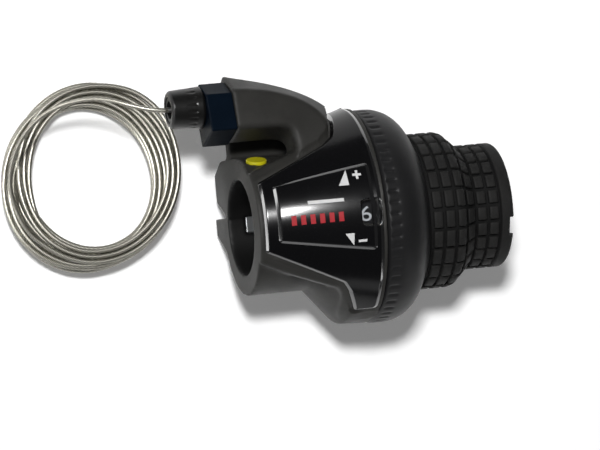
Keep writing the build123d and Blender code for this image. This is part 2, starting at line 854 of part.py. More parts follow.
with BuildPart() as detent_ring:
    with BuildSketch(Plane.YZ.offset(detent_start_x)):
        Circle(detent_radius)
        Circle(hub_radius + seat_fit, mode=Mode.SUBTRACT)
        for gear in range(gear_count):
            with PolarLocations(
                detent_radius + detent_notch_radius - detent_notch_depth,
                1,
                start_angle=-90 + gear * -click_angle,
            ):
                Circle(detent_notch_radius, mode=Mode.SUBTRACT)
    extrude(amount=detent_thickness)

with BuildPart() as number_ring:
    with BuildSketch(Plane.XZ):
        with BuildLine():
            Polyline(
                (number_ring_start_x, hub_radius + seat_fit),
                (number_ring_start_x, number_ring_radius),
                (number_ring_end_x, number_ring_radius),
                (number_ring_end_x, number_ring_radius - number_ring_wall),
                (number_ring_start_x + number_ring_wall, number_ring_radius - number_ring_wall),
                (number_ring_start_x + number_ring_wall, hub_radius + seat_fit),
                close=True,
            )
        make_face()
    revolve(axis=Axis.X)

# Rings around the core
with BuildPart() as thrust_washer:
    with BuildSketch(Plane.YZ.offset(back_wall_x)):
        Circle(thrust_radius)
        Circle(core_bore_radius, mode=Mode.SUBTRACT)
    extrude(amount=thrust_thickness)

with BuildPart() as dust_seal:
    with BuildSketch(Plane.YZ.offset(housing_edge_x - dust_seal_width)):
        Circle(cavity_radius - seat_fit)
        Circle(dust_seal_inner, mode=Mode.SUBTRACT)
    extrude(amount=dust_seal_width)

with BuildPart() as retaining_clip:
    with BuildSketch(Plane.YZ.offset(clip_x + seat_fit)):
        Circle(clip_radius)
        Circle(spigot_radius - clip_depth + seat_fit, mode=Mode.SUBTRACT)
        with BuildLine():
            Polyline(
                (0, 0),
                (-2 * clip_radius * tan(radians(clip_gap_angle / 2)), -2 * clip_radius),
                (2 * clip_radius * tan(radians(clip_gap_angle / 2)), -2 * clip_radius),
                close=True,
            )
        make_face(mode=Mode.SUBTRACT)
    extrude(amount=clip_thickness - 2 * seat_fit)

# Twist ring with a row of short ribs pressed into its land
with BuildPart() as twist_ring:
    with BuildSketch(Plane.XZ):
        with BuildLine():
            Line((ring_start_x, core_large_radius + seat_fit), (ring_start_x, ring_radius - ring_edge))
            Line((ring_start_x, ring_radius - ring_edge), (ring_start_x + ring_edge, ring_radius))
            Line((ring_start_x + ring_edge, ring_radius), (ring_land_end_x, ring_radius))
            TangentArc((ring_land_end_x, ring_radius), ring_shoulder, tangent=(1, 0))
            Line(ring_shoulder, (ring_end_x, ring_end_radius - ring_edge))
            Line((ring_end_x, ring_end_radius - ring_edge), (ring_end_x, core_large_radius + seat_fit))
            Line((ring_end_x, core_large_radius + seat_fit), (ring_start_x, core_large_radius + seat_fit))
        make_face()
    revolve(axis=Axis.X)
    with BuildSketch(Plane.XZ):
        with BuildLine():
            Polyline(
                (ring_start_x + ring_wall, 0),
                (ring_start_x + ring_wall, ring_radius - ring_wall),
                (ring_land_end_x, ring_radius - ring_wall),
                (ring_end_x - ring_wall, ring_end_radius - ring_wall / 2),
                (ring_end_x - ring_wall, 0),
                close=True,
            )
        make_face()
    revolve(axis=Axis.X, mode=Mode.SUBTRACT)
    with BuildSketch(Plane.YZ.offset(ring_start_x + ring_edge)):
        with PolarLocations(ring_radius, rib_count):
            Rectangle(2 * rib_depth, rib_width)
    extrude(amount=rib_length, mode=Mode.SUBTRACT)

# Rubber: a sleeve with rows and columns of raised blocks, and a plain end lip
with BuildPart() as grip_blocks:
    with BuildSketch(Plane.XZ):
        with BuildLine():
            Polyline(
                (knurl_start_x, core_small_radius),
                (knurl_start_x, rubber_large_radius),
                (slope_start_x, rubber_large_radius),
                (slope_end_x, rubber_small_radius),
                (knurl_end_x, rubber_small_radius),
                (knurl_end_x, core_small_radius),
                close=True,
            )
        make_face()
        columns = [knurl_start_x + knurl_pitch * (column + 1) for column in range(knurl_columns)]
        with Locations(*[(x, rubber_large_radius) for x in columns]):
            Rectangle(knurl_groove, 4 * rubber_large_radius, mode=Mode.SUBTRACT)
    revolve(axis=Axis.X)
    with BuildSketch(Plane.YZ.offset(knurl_start_x)):
        with PolarLocations(rubber_large_radius, knurl_rows):
            Rectangle(rubber_large_radius, knurl_groove)
    extrude(amount=knurl_end_x - knurl_start_x, mode=Mode.SUBTRACT)

with BuildPart() as grip_rubber:
    with BuildSketch(Plane.XZ):
        with BuildLine():
            Polyline(
                (rubber_start_x, core_large_radius + seat_fit),
                (rubber_start_x, rubber_large_radius - knurl_depth),
                (slope_start_x, rubber_large_radius - knurl_depth),
                (slope_end_x, rubber_small_radius - knurl_depth),
                (knurl_end_x, rubber_small_radius - knurl_depth),
                (knurl_end_x, rubber_small_radius),
                (rubber_end_x - lip_edge, rubber_small_radius),
                (rubber_end_x, rubber_small_radius - lip_edge),
                (rubber_end_x, lip_bore_radius),
                (core_end_x, lip_bore_radius),
                (core_end_x, core_small_radius + seat_fit),
                (core_step_x + seat_fit, core_small_radius + seat_fit),
                (core_step_x + seat_fit, core_large_radius + seat_fit),
                close=True,
            )
        make_face()
    revolve(axis=Axis.X)
    add(grip_blocks.part)
    with BuildSketch(Plane.XZ):
        with BuildLine():
            Polyline(
                (rubber_start_x - overcut, 0),
                (rubber_start_x - overcut, core_large_radius + seat_fit),
                (core_step_x + seat_fit, core_large_radius + seat_fit),
                (core_step_x + seat_fit, core_small_radius + seat_fit),
                (rubber_end_x + overcut, core_small_radius + seat_fit),
                (rubber_end_x + overcut, 0),
                close=True,
            )
        make_face()
    revolve(axis=Axis.X, mode=Mode.SUBTRACT)
    with BuildSketch(Plane.XY.rotated((lip_notch_angle, 0, 0))):
        with Locations((rubber_end_x, 0)):
            Rectangle(2 * lip_notch_depth, lip_notch_width)
    extrude(amount=2 * rubber_small_radius, mode=Mode.SUBTRACT)

# Detent leaf spring: a bent strip whose nose sits in the first notch
with BuildPart() as detent_spring:
    with BuildSketch(Plane.YZ.offset(detent_start_x + leaf_side_clearance)):
        with BuildLine():
            Polyline(*leaf_upper, *leaf_lower, close=True)
        make_face()
    extrude(amount=detent_thickness - 2 * leaf_side_clearance)

# Free cable: the lead down to the floor, and the coil's outer shape
with BuildLine() as lead_line:
    FilletPolyline(*lead_route, radius=lead_radii)
with BuildPart() as cable_lead:
    with BuildSketch(Plane(origin=lead_route[0], x_dir=(0, 1, 0), z_dir=lead_route[1] - lead_route[0])):
        Circle(cable_radius)
    sweep(path=lead_line.line)
print("lead radii", [round(radius, 1) for radius in lead_radii])
lead_length = sum(edge.length for edge in lead_line.edges())
print("lead length", round(lead_length, 1))
print("lead volume", round(cable_lead.part.volume, 1), "of", round(pi * cable_radius**2 * lead_length, 1))

with BuildPart() as cable_coil:
    with BuildSketch(Plane.XZ.offset(-coil_centre[1])):
        with Locations((coil_centre[0] + coil_mean_radius, floor_z + coil_half_height)):
            Ellipse(coil_half_width, coil_half_height)
    revolve(axis=Axis((coil_centre[0], coil_centre[1], 0), (0, 0, 1)))

pieces = {
    "housing": housing,
    "display_cover": display_cover,
    "display_panel": display_panel,
    "gear_window": gear_window,
    "clamp_bolt": clamp_bolt,
    "clamp_washer": clamp_washer,
    "clamp_nut": clamp_nut,
    "cable_port_plug": cable_port_plug,
    "adjuster_collar": adjuster_collar,
    "adjuster_barrel": adjuster_barrel,
    "barrel_seal": barrel_seal,
    "casing_stop": casing_stop,
    "cable_guide": cable_guide,
    "inner_cable": inner_cable,
    "grip_core": grip_core,
    "cable_nipple": cable_nipple,
    "detent_ring": detent_ring,
    "number_ring": number_ring,
    "thrust_washer": thrust_washer,
    "dust_seal": dust_seal,
    "retaining_clip": retaining_clip,
    "twist_ring": twist_ring,
    "grip_rubber": grip_rubber,
    "detent_spring": detent_spring,
    "cable_lead": cable_lead,
    "cable_coil": cable_coil,
}
for name, piece in pieces.items():
    piece.part.label = name
    export_step(piece.part, f"parts/{name}.step")
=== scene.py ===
"""Looks of a right-hand twist grip shifter with its coiled gear cable.

Lengths are written in millimetres and turned into metres where a mesh is made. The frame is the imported
model's: +X outboard along the handlebar, whose axis lies on X, +Y forward, +Z up through the gear display.
"""

import math

import bmesh
import bpy
from mathutils import Matrix, Vector
from mathutils.geometry import delaunay_2d_cdt


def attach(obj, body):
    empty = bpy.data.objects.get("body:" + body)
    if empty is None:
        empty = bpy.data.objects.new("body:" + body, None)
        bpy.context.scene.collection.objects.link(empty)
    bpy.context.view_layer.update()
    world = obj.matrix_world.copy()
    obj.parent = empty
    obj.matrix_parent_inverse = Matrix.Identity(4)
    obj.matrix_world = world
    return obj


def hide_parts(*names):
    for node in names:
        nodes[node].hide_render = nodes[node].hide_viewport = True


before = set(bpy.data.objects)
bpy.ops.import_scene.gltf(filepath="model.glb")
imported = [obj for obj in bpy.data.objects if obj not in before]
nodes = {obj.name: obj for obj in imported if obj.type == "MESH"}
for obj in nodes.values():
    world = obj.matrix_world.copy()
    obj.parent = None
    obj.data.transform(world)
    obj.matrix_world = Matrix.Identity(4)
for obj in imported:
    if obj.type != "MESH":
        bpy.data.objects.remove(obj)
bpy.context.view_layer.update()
MM = 0.001

# Remeshed mouldings: voxel sizes, and how their edges are smoothed
HOUSING_VOXEL = 0.42
RING_VOXEL = 0.3
SMALL_VOXEL = 0.18
HOUSING_ROUNDS = 5
RING_ROUNDS = 3
SMALL_ROUNDS = 3
SMOOTH_SHARE = 0.5
WELD_DISTANCE = 0.002

# Camera, at the photograph's angle
CAMERA_TARGET = (14.42, -0.59, 0.0)
CAMERA_BACK = (-0.2706, 0.0, 0.9627)
CAMERA_RIGHT = (0.9585, -0.0931, 0.2694)
CAMERA_DISTANCE = 900.0
SENSOR_WIDTH = 36.0
IMAGE_WIDTH = 600
PIXELS_PER_MM = 4.25
CLIP_NEAR = 10.0
CLIP_FAR = 10000.0

# Free cable: its strands, the lead's route, then the coil's layers from the top down
FLOOR_Z = -25.2
CABLE_RADIUS = 0.6
CABLE_STRANDS = 8
CABLE_LAY = 9.0
STRAND_VALLEY = 0.84
SPLINE_ORDER = 3
SPLINE_STEPS = 10
LEAD_ROUTE = [
    (-16.5, 28.69, 6.74),
    (-20.5, 28.69, 6.74),
    (-33.0, 34.2, 0.5),
    (-45.6, 30.2, -8.6),
    (-51.6, 17.6, -15.6),
    (-48.6, 4.6, -17.2),
]
COIL_CENTRE = (-29.4, 15.3)
COIL_START_ANGLE = 238.0
POINTS_PER_TURN = 16
TURN_SPACING = 1.22
COIL_INNER = 17.2
COIL_OUTER = 20.8
COIL_OVAL = 0.4
COIL_WAVE = 0.2
# the coil is tilted: its side at this angle stands off the floor, and leans in by a share of its rise
TILT_ANGLE = -50.0
TILT_RISE = 5.0
TILT_LEAN = 0.45
# each layer's shift from the centre, from the top down; neighbours cross at the upper left and lower right
LAYER_SHIFTS = [(1.3, 0.9), (-1.2, -1.0), (1.1, 0.7), (-1.3, -0.9), (0.9, 0.8)]
LAYER_TURNS = 3.13
LAYER_CHANGE = 0.28
# one short stretch of the uppermost turn strays outward
STRAY_TURN = 0.47
STRAY_SPAN = 0.075
STRAY_REACH = 1.3

# Display cone about the bar's axis
POD_START_RADIUS = 17.2
POD_END_RADIUS = 25.9
HOUSING_EDGE_X = 28.0
POD_SLOPE = (POD_END_RADIUS - POD_START_RADIUS) / HOUSING_EDGE_X
FLAT_RADIUS = 22.0
COVER_LOW = -0.98
COVER_PROUD = 0.5
COVER_CORNER = 1.6
COVER_RIGHT_X = 27.75
COVER_OUTLINE = [
    (5.8, -9.2),
    (COVER_RIGHT_X - 8.75, -14.2),
    (COVER_RIGHT_X - 7.05, -16.6),
    (COVER_RIGHT_X - 6.35, -22.0),
    (COVER_RIGHT_X, -22.0),
    (COVER_RIGHT_X, 27.0),
    (COVER_RIGHT_X - 4.75, 27.0),
    (COVER_RIGHT_X - 7.35, 18.8),
    (COVER_RIGHT_X - 10.35, 16.6),
    (2.6, 11.2),
    (0.4, 10.2),
    (0.4, -6.6),
]
PANEL_LOW = 0.2
PANEL_PROUD = 0.72
PANEL_CROWN = 0.35
PANEL_CORNER = 2.2
PANEL_RIGHT_X = COVER_RIGHT_X - 0.85
PANEL_OUTLINE = [(2.6, -5.2), (PANEL_RIGHT_X, -9.3), (PANEL_RIGHT_X, 13.6), (2.6, 9.7)]
WINDOW_CENTRE = (24.6, 0.9)
WINDOW_SIZE = (3.6, 5.2)
WINDOW_CORNER = 0.6
# width and height of each bevelled edge, and the bevel's profile as shares of them, from the foot up
COVER_EDGE = (0.8, 0.45)
PANEL_EDGE = (0.9, 0.4)
HOLE_EDGE = (0.15, 0.15)
EDGE_PROFILE = [
    (0.0, 1.0),
    (0.06, 0.84),
    (0.16, 0.72),
    (0.26, 0.62),
    (0.72, 0.16),
    (0.84, 0.05),
    (1.0, 0.0),
    (1.25, 0.0),
]
SEAT_MARGIN = 0.8
SEAT_DEPTH = 0.15
# how finely outlines and the faces between them are divided
CORNER_STEPS = 6
OUTLINE_STEP = 0.7
HOLE_STEP = 0.5
FILL_STEP = 1.1
FILL_CLEARANCE = 0.5
FILL_TOLERANCE = 1e-5
PLATE_SHARP_ANGLE = 50.0

# Number ring and rubber
NUMBER_RING_RADIUS = 21.8
NUMBER_X = 24.25
NUMBER_HEIGHT = 3.5
CLICK_ANGLE = 12.0
RUBBER_START_X = 41.1
RUBBER_END_X = 62.8
SLOPE_START_X = 48.5
SLOPE_END_X = 53.9
SLOPE_STEPS = 10
RUBBER_LARGE_RADIUS = 18.5
RUBBER_SMALL_RADIUS = 14.8
KNURL_START_X = 41.8
KNURL_END_X = 59.8
KNURL_PITCH = 3.0
KNURL_GROOVE = 0.8
KNURL_DEPTH = 0.9
KNURL_ROWS = 24
KNURL_COLUMNS = 6
BLOCK_ROOT = 0.4
BLOCK_EDGE = 0.3
BLOCK_EDGE_STEPS = 2
BLOCK_CUTS = (-1 / 6, 1 / 6)
CORE_LARGE_RADIUS = 15.42
CORE_SMALL_RADIUS = 13.12
CORE_STEP_X = 48.82
CORE_END_X = 60.2
LIP_BORE_RADIUS = 13.35
LIP_ROUND = 1.1
LIP_ROUND_STEPS = 6
LIP_CHAMFER = 0.2
LIP_WALL_SLANT = 0.25
SLEEVE_CHAMFER = 0.3
SLEEVE_SEGMENTS = 192
SLEEVE_SHARP_ANGLE = 40.0
LIP_NOTCH_ANGLE = 22.0
LIP_NOTCH_WIDTH = 4.6
LIP_NOTCH_DEPTH = 1.2
NOTCH_UNDERCUT = 2.0
NOTCH_OVERCUT = 1.0

# Print on the panel and numbers on the ring
MARK_ROOT = 0.05
MARK_RISE = 0.03
MARK_EDGE = (0.03, 0.02)
MARK_STEP = 0.5
POINTER_LEAN = 0.42
RED_BARS = 6
RED_FIRST_X = 7.4
RED_PITCH = 2.08
RED_Y = 0.45
RED_SIZE = (1.1, 2.1)
GEARS = 6
NUMBER_ANGLE = 1.1
NUMBER_RISE = 0.03
NUMBER_SIZE_SHARE = 1.4
NUMBER_WIDTH_SHARE = 1.25

# Colours inside the materials
# painted shade inside the bore, and how far past the bore's radius it fades out
BORE_PAINTED_SHADE = (0.002, 0.002, 0.002)
BORE_SHADE_FADE = 0.5
DUST_COLOUR = (0.05, 0.05, 0.055)
STRAND_BRIGHT = (0.78, 0.76, 0.68)
STRAND_DULL = (0.5, 0.48, 0.41)
STRAND_GROOVE = (0.08, 0.076, 0.064)
WINDOW_COLOUR = (0.02, 0.02, 0.022)

# Floor and light
FLOOR_GAP = 0.02
FLOOR_REACH = 900
FLOOR_COLOUR = (0.9, 0.9, 0.9)
FLOOR_GLOW = 0.17
SURROUND_COLOUR = (1.0, 1.0, 1.0, 1.0)
SURROUND_STRENGTH = 0.08
KEY_AIM = (20, 0, -10)
ORIGIN = (0, 0, 0)


# Camera


def make_camera():
    """Camera at the photograph's angle, far enough away for a nearly flat perspective."""
    back = Vector(CAMERA_BACK).normalized()
    right = Vector(CAMERA_RIGHT)
    right = (right - back * right.dot(back)).normalized()
    up = back.cross(right)
    camera = bpy.data.cameras.new("camera")
    camera.sensor_width = SENSOR_WIDTH
    camera.lens = SENSOR_WIDTH * PIXELS_PER_MM * CAMERA_DISTANCE / IMAGE_WIDTH
    camera.clip_start = CLIP_NEAR * MM
    camera.clip_end = CLIP_FAR * MM
    stand = bpy.data.objects.new("camera", camera)
    turn = Matrix((right, up, back)).transposed().to_4x4()
    place = (Vector(CAMERA_TARGET) + back * CAMERA_DISTANCE) * MM
    stand.matrix_world = Matrix.Translation(place) @ turn
    bpy.context.collection.objects.link(stand)
    bpy.context.scene.camera = stand


# Meshes


def new_object(name, mesh):
    """Puts a mesh into the scene as an object at the origin."""
    made = bpy.data.objects.new(name, mesh)
    bpy.context.collection.objects.link(made)
    return made


def mesh_from(name, points, faces, smooth=True):
    """A mesh object from points in millimetres."""
    mesh = bpy.data.meshes.new(name)
    mesh.from_pydata([Vector(point) * MM for point in points], [], faces)
    mesh.polygons.foreach_set("use_smooth", [smooth] * len(mesh.polygons))
    mesh.update()
    return new_object(name, mesh)


def settle(made):
    """Turns an object with modifiers into a plain mesh."""
    bpy.context.view_layer.update()
    graph = bpy.context.evaluated_depsgraph_get()
    mesh = bpy.data.meshes.new_from_object(made.evaluated_get(graph))
    made.modifiers.clear()
    made.data = mesh
    return made


def soft_copy(parts, name, voxel, rounds):
    """CAD nodes merged into one mesh, remeshed and smoothed, with edges as round as a moulding's."""
    work = bmesh.new()
    for node in parts:
        work.from_mesh(nodes[node].data)
    bmesh.ops.remove_doubles(work, verts=work.verts, dist=WELD_DISTANCE * MM)
    mesh = bpy.data.meshes.new(name)
    work.to_mesh(mesh)
    work.free()
    made = new_object(name, mesh)
    made.data.materials.clear()
    remesh = made.modifiers.new("remesh", "REMESH")
    remesh.mode = "VOXEL"
    remesh.voxel_size = voxel * MM
    remesh.use_smooth_shade = True
    smooth = made.modifiers.new("smooth", "SMOOTH")
    smooth.factor = SMOOTH_SHARE
    smooth.iterations = rounds
    settle(made)
    return made


def cone_radius(x, lift):
    """Radius of the display cone at a place along the bar, raised by lift."""
    return POD_START_RADIUS + POD_SLOPE * x + lift


def panel_lift(x):
    """Height of the panel's slightly crowned face over the cone."""
    middle = (PANEL_OUTLINE[0][0] + PANEL_OUTLINE[2][0]) / 2
    half = (PANEL_OUTLINE[2][0] - PANEL_OUTLINE[0][0]) / 2
    return PANEL_PROUD + PANEL_CROWN * (1 - ((x - middle) / half) ** 2)


def rounded(corners, radius):
    """A closed outline with its corners rounded."""
    points = []
    for number, corner in enumerate(corners):
        here = Vector(corner)
        back = (Vector(corners[number - 1]) - here).normalized()
        ahead = (Vector(corners[(number + 1) % len(corners)]) - here).normalized()
        half = back.angle(ahead) / 2
        centre = here + (back + ahead).normalized() * radius / math.sin(half)
        start = here + back * radius / math.tan(half) - centre
        end = here + ahead * radius / math.tan(half) - centre
        for step in range(CORNER_STEPS + 1):
            points.append(tuple(centre + start.slerp(end, step / CORNER_STEPS)))
    return points


def unrolled(outline, step):
    """An outline of the bar's plane laid flat from the cone, with points at most a step apart."""
    points = []
    for before, after in zip(outline, outline[1:] + outline[:1]):
        start = Vector(before)
        run = Vector(after) - start
        count = max(1, math.ceil(run.length / step))
        for number in range(count):
            x, y = start + run * number / count
            share = max(-1.0, min(1.0, y / cone_radius(x, 0.0)))
            points.append(Vector((x, FLAT_RADIUS * math.asin(share))))
    return points


def inset(loop, distance):
    """A closed loop moved to its left by a distance."""
    moved = []
    for number, point in enumerate(loop):
        run = loop[(number + 1) % len(loop)] - loop[number - 1]
        left = Vector((-run.y, run.x))
        if left.length > 0:
            left.normalize()
        moved.append(point + left * distance)
    return moved


def inside(point, loop):
    """Whether a point lies within a closed loop."""
    crossings = 0
    for before, after in zip(loop, loop[1:] + loop[:1]):
        if (before.y > point.y) != (after.y > point.y):
            crossing = before.x + (point.y - before.y) * (after.x - before.x) / (after.y - before.y)
            crossings += crossing > point.x
    return crossings % 2 == 1


def flat_fill(outer, holes, step):
    """Points and triangles that fill a flat outline around its holes, about a step apart."""
    points = []
    edges = []
    for loop in [outer, *holes]:
        first = len(points)
        points += loop
        edges += [(first + n, first + (n + 1) % len(loop)) for n in range(len(loop))]
    rim = list(points)
    low_x = min(point.x for point in outer)
    low_y = min(point.y for point in outer)
    for column in range(1, math.ceil((max(point.x for point in outer) - low_x) / step)):
        for row in range(1, math.ceil((max(point.y for point in outer) - low_y) / step)):
            place = Vector((low_x + column * step, low_y + row * step))
            clear = min((place - point).length_squared for point in rim) > (FILL_CLEARANCE * step) ** 2
            if clear and inside(place, outer) and not any(inside(place, hole) for hole in holes):
                points.append(place)
    filled = delaunay_2d_cdt(points, edges, [], 0, FILL_TOLERANCE)
    corners = filled[0]
    faces = []
    for face in filled[2]:
        middle = sum((corners[corner] for corner in face), Vector((0.0, 0.0))) / len(face)
        if inside(middle, outer) and not any(inside(middle, hole) for hole in holes):
            faces.append(face)
    return corners, faces


def cone_plates(name, plates, low, high_at, step):
    """Plates that follow the cone, as one mesh. Each is a list of flat loops, the outline running to the left
    and its holes to the right, each loop with the width and height of its bevelled upper edge. The faces of
    the bevels are marked for the material."""
    work = bmesh.new()
    bevel = work.faces.layers.float.new("bevel")

    def raise_point(point, lift):
        angle = point.y / FLAT_RADIUS
        radius = cone_radius(point.x, lift)
        return work.verts.new(Vector((point.x, radius * math.sin(angle), radius * math.cos(angle))) * MM)

    for plate in plates:
        brims = []
        for loop, (width, height) in plate:
            rings = [[raise_point(point, low) for point in loop]]
            for inward, drop in EDGE_PROFILE:
                brim = inset(loop, width * inward)
                rings.append([raise_point(point, high_at(point.x) - height * drop) for point in brim])
            for level, (lower, upper) in enumerate(zip(rings, rings[1:])):
                sloping = 0 < level < len(EDGE_PROFILE) - 1
                for here in range(len(loop)):
                    after = (here + 1) % len(loop)
                    face = work.faces.new((lower[here], lower[after], upper[after], upper[here]))
                    face[bevel] = 1.0 if sloping else 0.0
            brims.append(brim)
        feet = [loop for loop, edge in plate]
        for outline, height_at in ((brims, high_at), (feet, lambda x: low)):
            points, faces = flat_fill(outline[0], outline[1:], step)
            corners = [raise_point(point, height_at(point.x)) for point in points]
            for face in faces:
                work.faces.new([corners[corner] for corner in face])
    bmesh.ops.remove_doubles(work, verts=work.verts, dist=WELD_DISTANCE * MM)
    bmesh.ops.recalc_face_normals(work, faces=work.faces)
    for face in work.faces:
        face.smooth = True
    mesh = bpy.data.meshes.new(name)
    work.to_mesh(mesh)
    work.free()
    mesh.set_sharp_from_angle(angle=math.radians(PLATE_SHARP_ANGLE))
    return new_object(name, mesh)


def window_hole():
    """The window's outline laid flat, running to the right, with its edge."""
    corners = rectangle(WINDOW_CENTRE[0], WINDOW_CENTRE[1], *WINDOW_SIZE)
    return unrolled(rounded(corners, WINDOW_CORNER), HOLE_STEP)[::-1], HOLE_EDGE


def cover_loop():
    """The cover's outline laid flat."""
    return unrolled(rounded(COVER_OUTLINE, COVER_CORNER), OUTLINE_STEP)


def lathe(name, profile, segments):
    """A closed ring from a closed profile of places along the bar and radii."""
    points = []
    for step in range(segments):
        angle = 2 * math.pi * step / segments
        points += [(x, r * math.sin(angle), r * math.cos(angle)) for x, r in profile]
    count = len(profile)
    faces = []
    for step in range(segments):
        here = step * count
        there = (step + 1) % segments * count
        for corner in range(count):
            after = (corner + 1) % count
            faces.append((here + corner, here + after, there + after, there + corner))
    made = mesh_from(name, points, faces)
    work = bmesh.new()
    work.from_mesh(made.data)
    bmesh.ops.recalc_face_normals(work, faces=work.faces)
    work.to_mesh(made.data)
    work.free()
    return made


def arc_points(centre, radius, start, end, steps):
    """Points of an arc in a profile, angles in degrees from the bar's direction."""
    turns = [math.radians(start + (end - start) * step / steps) for step in range(steps + 1)]
    return [(centre[0] + radius * math.cos(turn), centre[1] + radius * math.sin(turn)) for turn in turns]


# Cable


def coil_at(turn):
    """Radius, height, shift and layer of the coil at a number of turns. Its layers are wound in and out."""
    layer = min(int(turn / LAYER_TURNS), len(LAYER_SHIFTS) - 1)
    wound = turn - layer * LAYER_TURNS
    share = min(wound / (LAYER_TURNS - LAYER_CHANGE), 1.0)
    change = max(wound - LAYER_TURNS + LAYER_CHANGE, 0.0) / LAYER_CHANGE
    if layer == len(LAYER_SHIFTS) - 1:
        share = wound / LAYER_TURNS
        change = 0.0
    start, end = (COIL_OUTER, COIL_INNER) if layer % 2 == 0 else (COIL_INNER, COIL_OUTER)
    height = CABLE_RADIUS + TURN_SPACING * (len(LAYER_SHIFTS) - 1 - layer - change)
    here = Vector(LAYER_SHIFTS[layer])
    below = Vector(LAYER_SHIFTS[min(layer + 1, len(LAYER_SHIFTS) - 1)])
    return start + (end - start) * share, height, here.lerp(below, change), layer


def cable_points():
    """Control points of the whole cable in millimetres: the lead, then the coil's turns."""
    points = list(LEAD_ROUTE)
    outside = 1 / math.cos(math.pi / POINTS_PER_TURN)
    last = round(LAYER_TURNS * len(LAYER_SHIFTS) * POINTS_PER_TURN)
    for step in range(last + 1):
        turn = step / POINTS_PER_TURN
        radius, height, shift, layer = coil_at(turn)
        angle = math.radians(COIL_START_ANGLE) + 2 * math.pi * turn
        radius -= COIL_OVAL * math.cos(2 * angle)
        radius += COIL_WAVE * math.cos(3 * angle + 2 * layer)
        radius += STRAY_REACH * math.exp(-(((turn - STRAY_TURN) / STRAY_SPAN) ** 2))
        rise = TILT_RISE * (1 + math.cos(angle - math.radians(TILT_ANGLE))) / 2
        x = COIL_CENTRE[0] + shift.x + outside * radius * math.cos(angle) - TILT_LEAN * rise
        y = COIL_CENTRE[1] + shift.y + outside * radius * math.sin(angle)
        points.append((x, y, FLOOR_Z + height + rise))
    return points


def cable_spline():
    """The cable's smooth line, as points in metres read from a NURBS spline."""
    curve = bpy.data.curves.new("cable_line", "CURVE")
    curve.dimensions = "3D"
    spline = curve.splines.new("NURBS")
    points = cable_points()
    spline.points.add(len(points) - 1)
    for point, place in zip(spline.points, points):
        point.co = (*(Vector(place) * MM), 1.0)
    spline.order_u = SPLINE_ORDER
    spline.use_endpoint_u = True
    spline.resolution_u = SPLINE_STEPS
    line = new_object("cable_line", curve)
    bpy.context.view_layer.update()
    mesh = bpy.data.meshes.new_from_object(line)
    path = [vertex.co.copy() for vertex in mesh.vertices]
    bpy.data.objects.remove(line)
    bpy.data.curves.remove(curve)
    bpy.data.meshes.remove(mesh)
    return path


def stranded_tube(name, path, radius, strands, lay):
    """A tube of twisted strands along a path in metres, with how deep each point lies between two strands."""
    sides = 2 * strands
    points = []
    depths = []
    faces = []
    along = 0.0
    ahead = (path[1] - path[0]).normalized()
    side = ahead.orthogonal().normalized()
    for number, centre in enumerate(path):
        before = path[max(number - 1, 0)]
        after = path[min(number + 1, len(path) - 1)]
        new_ahead = (after - before).normalized()
        side = (ahead.rotation_difference(new_ahead) @ side).normalized()
        ahead = new_ahead
        along += (centre - before).length
        other = ahead.cross(side)
        twist = 2 * math.pi * along / lay
        for corner in range(sides):
            valley = corner % 2
            angle = 2 * math.pi * corner / sides + twist
            reach = radius * (STRAND_VALLEY if valley else 1.0)
            points.append((centre + side * reach * math.cos(angle) + other * reach * math.sin(angle)) / MM)
            depths.append(float(valley))
        if number:
            base = (number - 1) * sides
            for corner in range(sides):
                turned = (corner + 1) % sides
                faces.append((base + corner, base + turned, base + sides + turned, base + sides + corner))
    faces.append(tuple(reversed(range(sides))))
    end = (len(path) - 1) * sides
    faces.append(tuple(range(end, end + sides)))
    made = mesh_from(name, points, faces)
    groove = made.data.attributes.new("groove", "FLOAT", "POINT")
    groove.data.foreach_set("value", depths)
    return made


# Shaders


class Wire:
    """A shader socket that takes part in Python sums, each of which adds a Math node."""

    def __init__(self, finish, socket):
        self.finish = finish
        self.socket = socket

    def maths(self, operation, first, second):
        return self.finish.node("Math", {"operation": operation}, {0: first, 1: second})

    def __add__(self, other):
        return self.maths("ADD", self, other)

    def __radd__(self, other):
        return self.maths("ADD", other, self)

    def __sub__(self, other):
        return self.maths("SUBTRACT", self, other)

    def __mul__(self, other):
        return self.maths("MULTIPLY", self, other)

    def __rmul__(self, other):
        return self.maths("MULTIPLY", other, self)


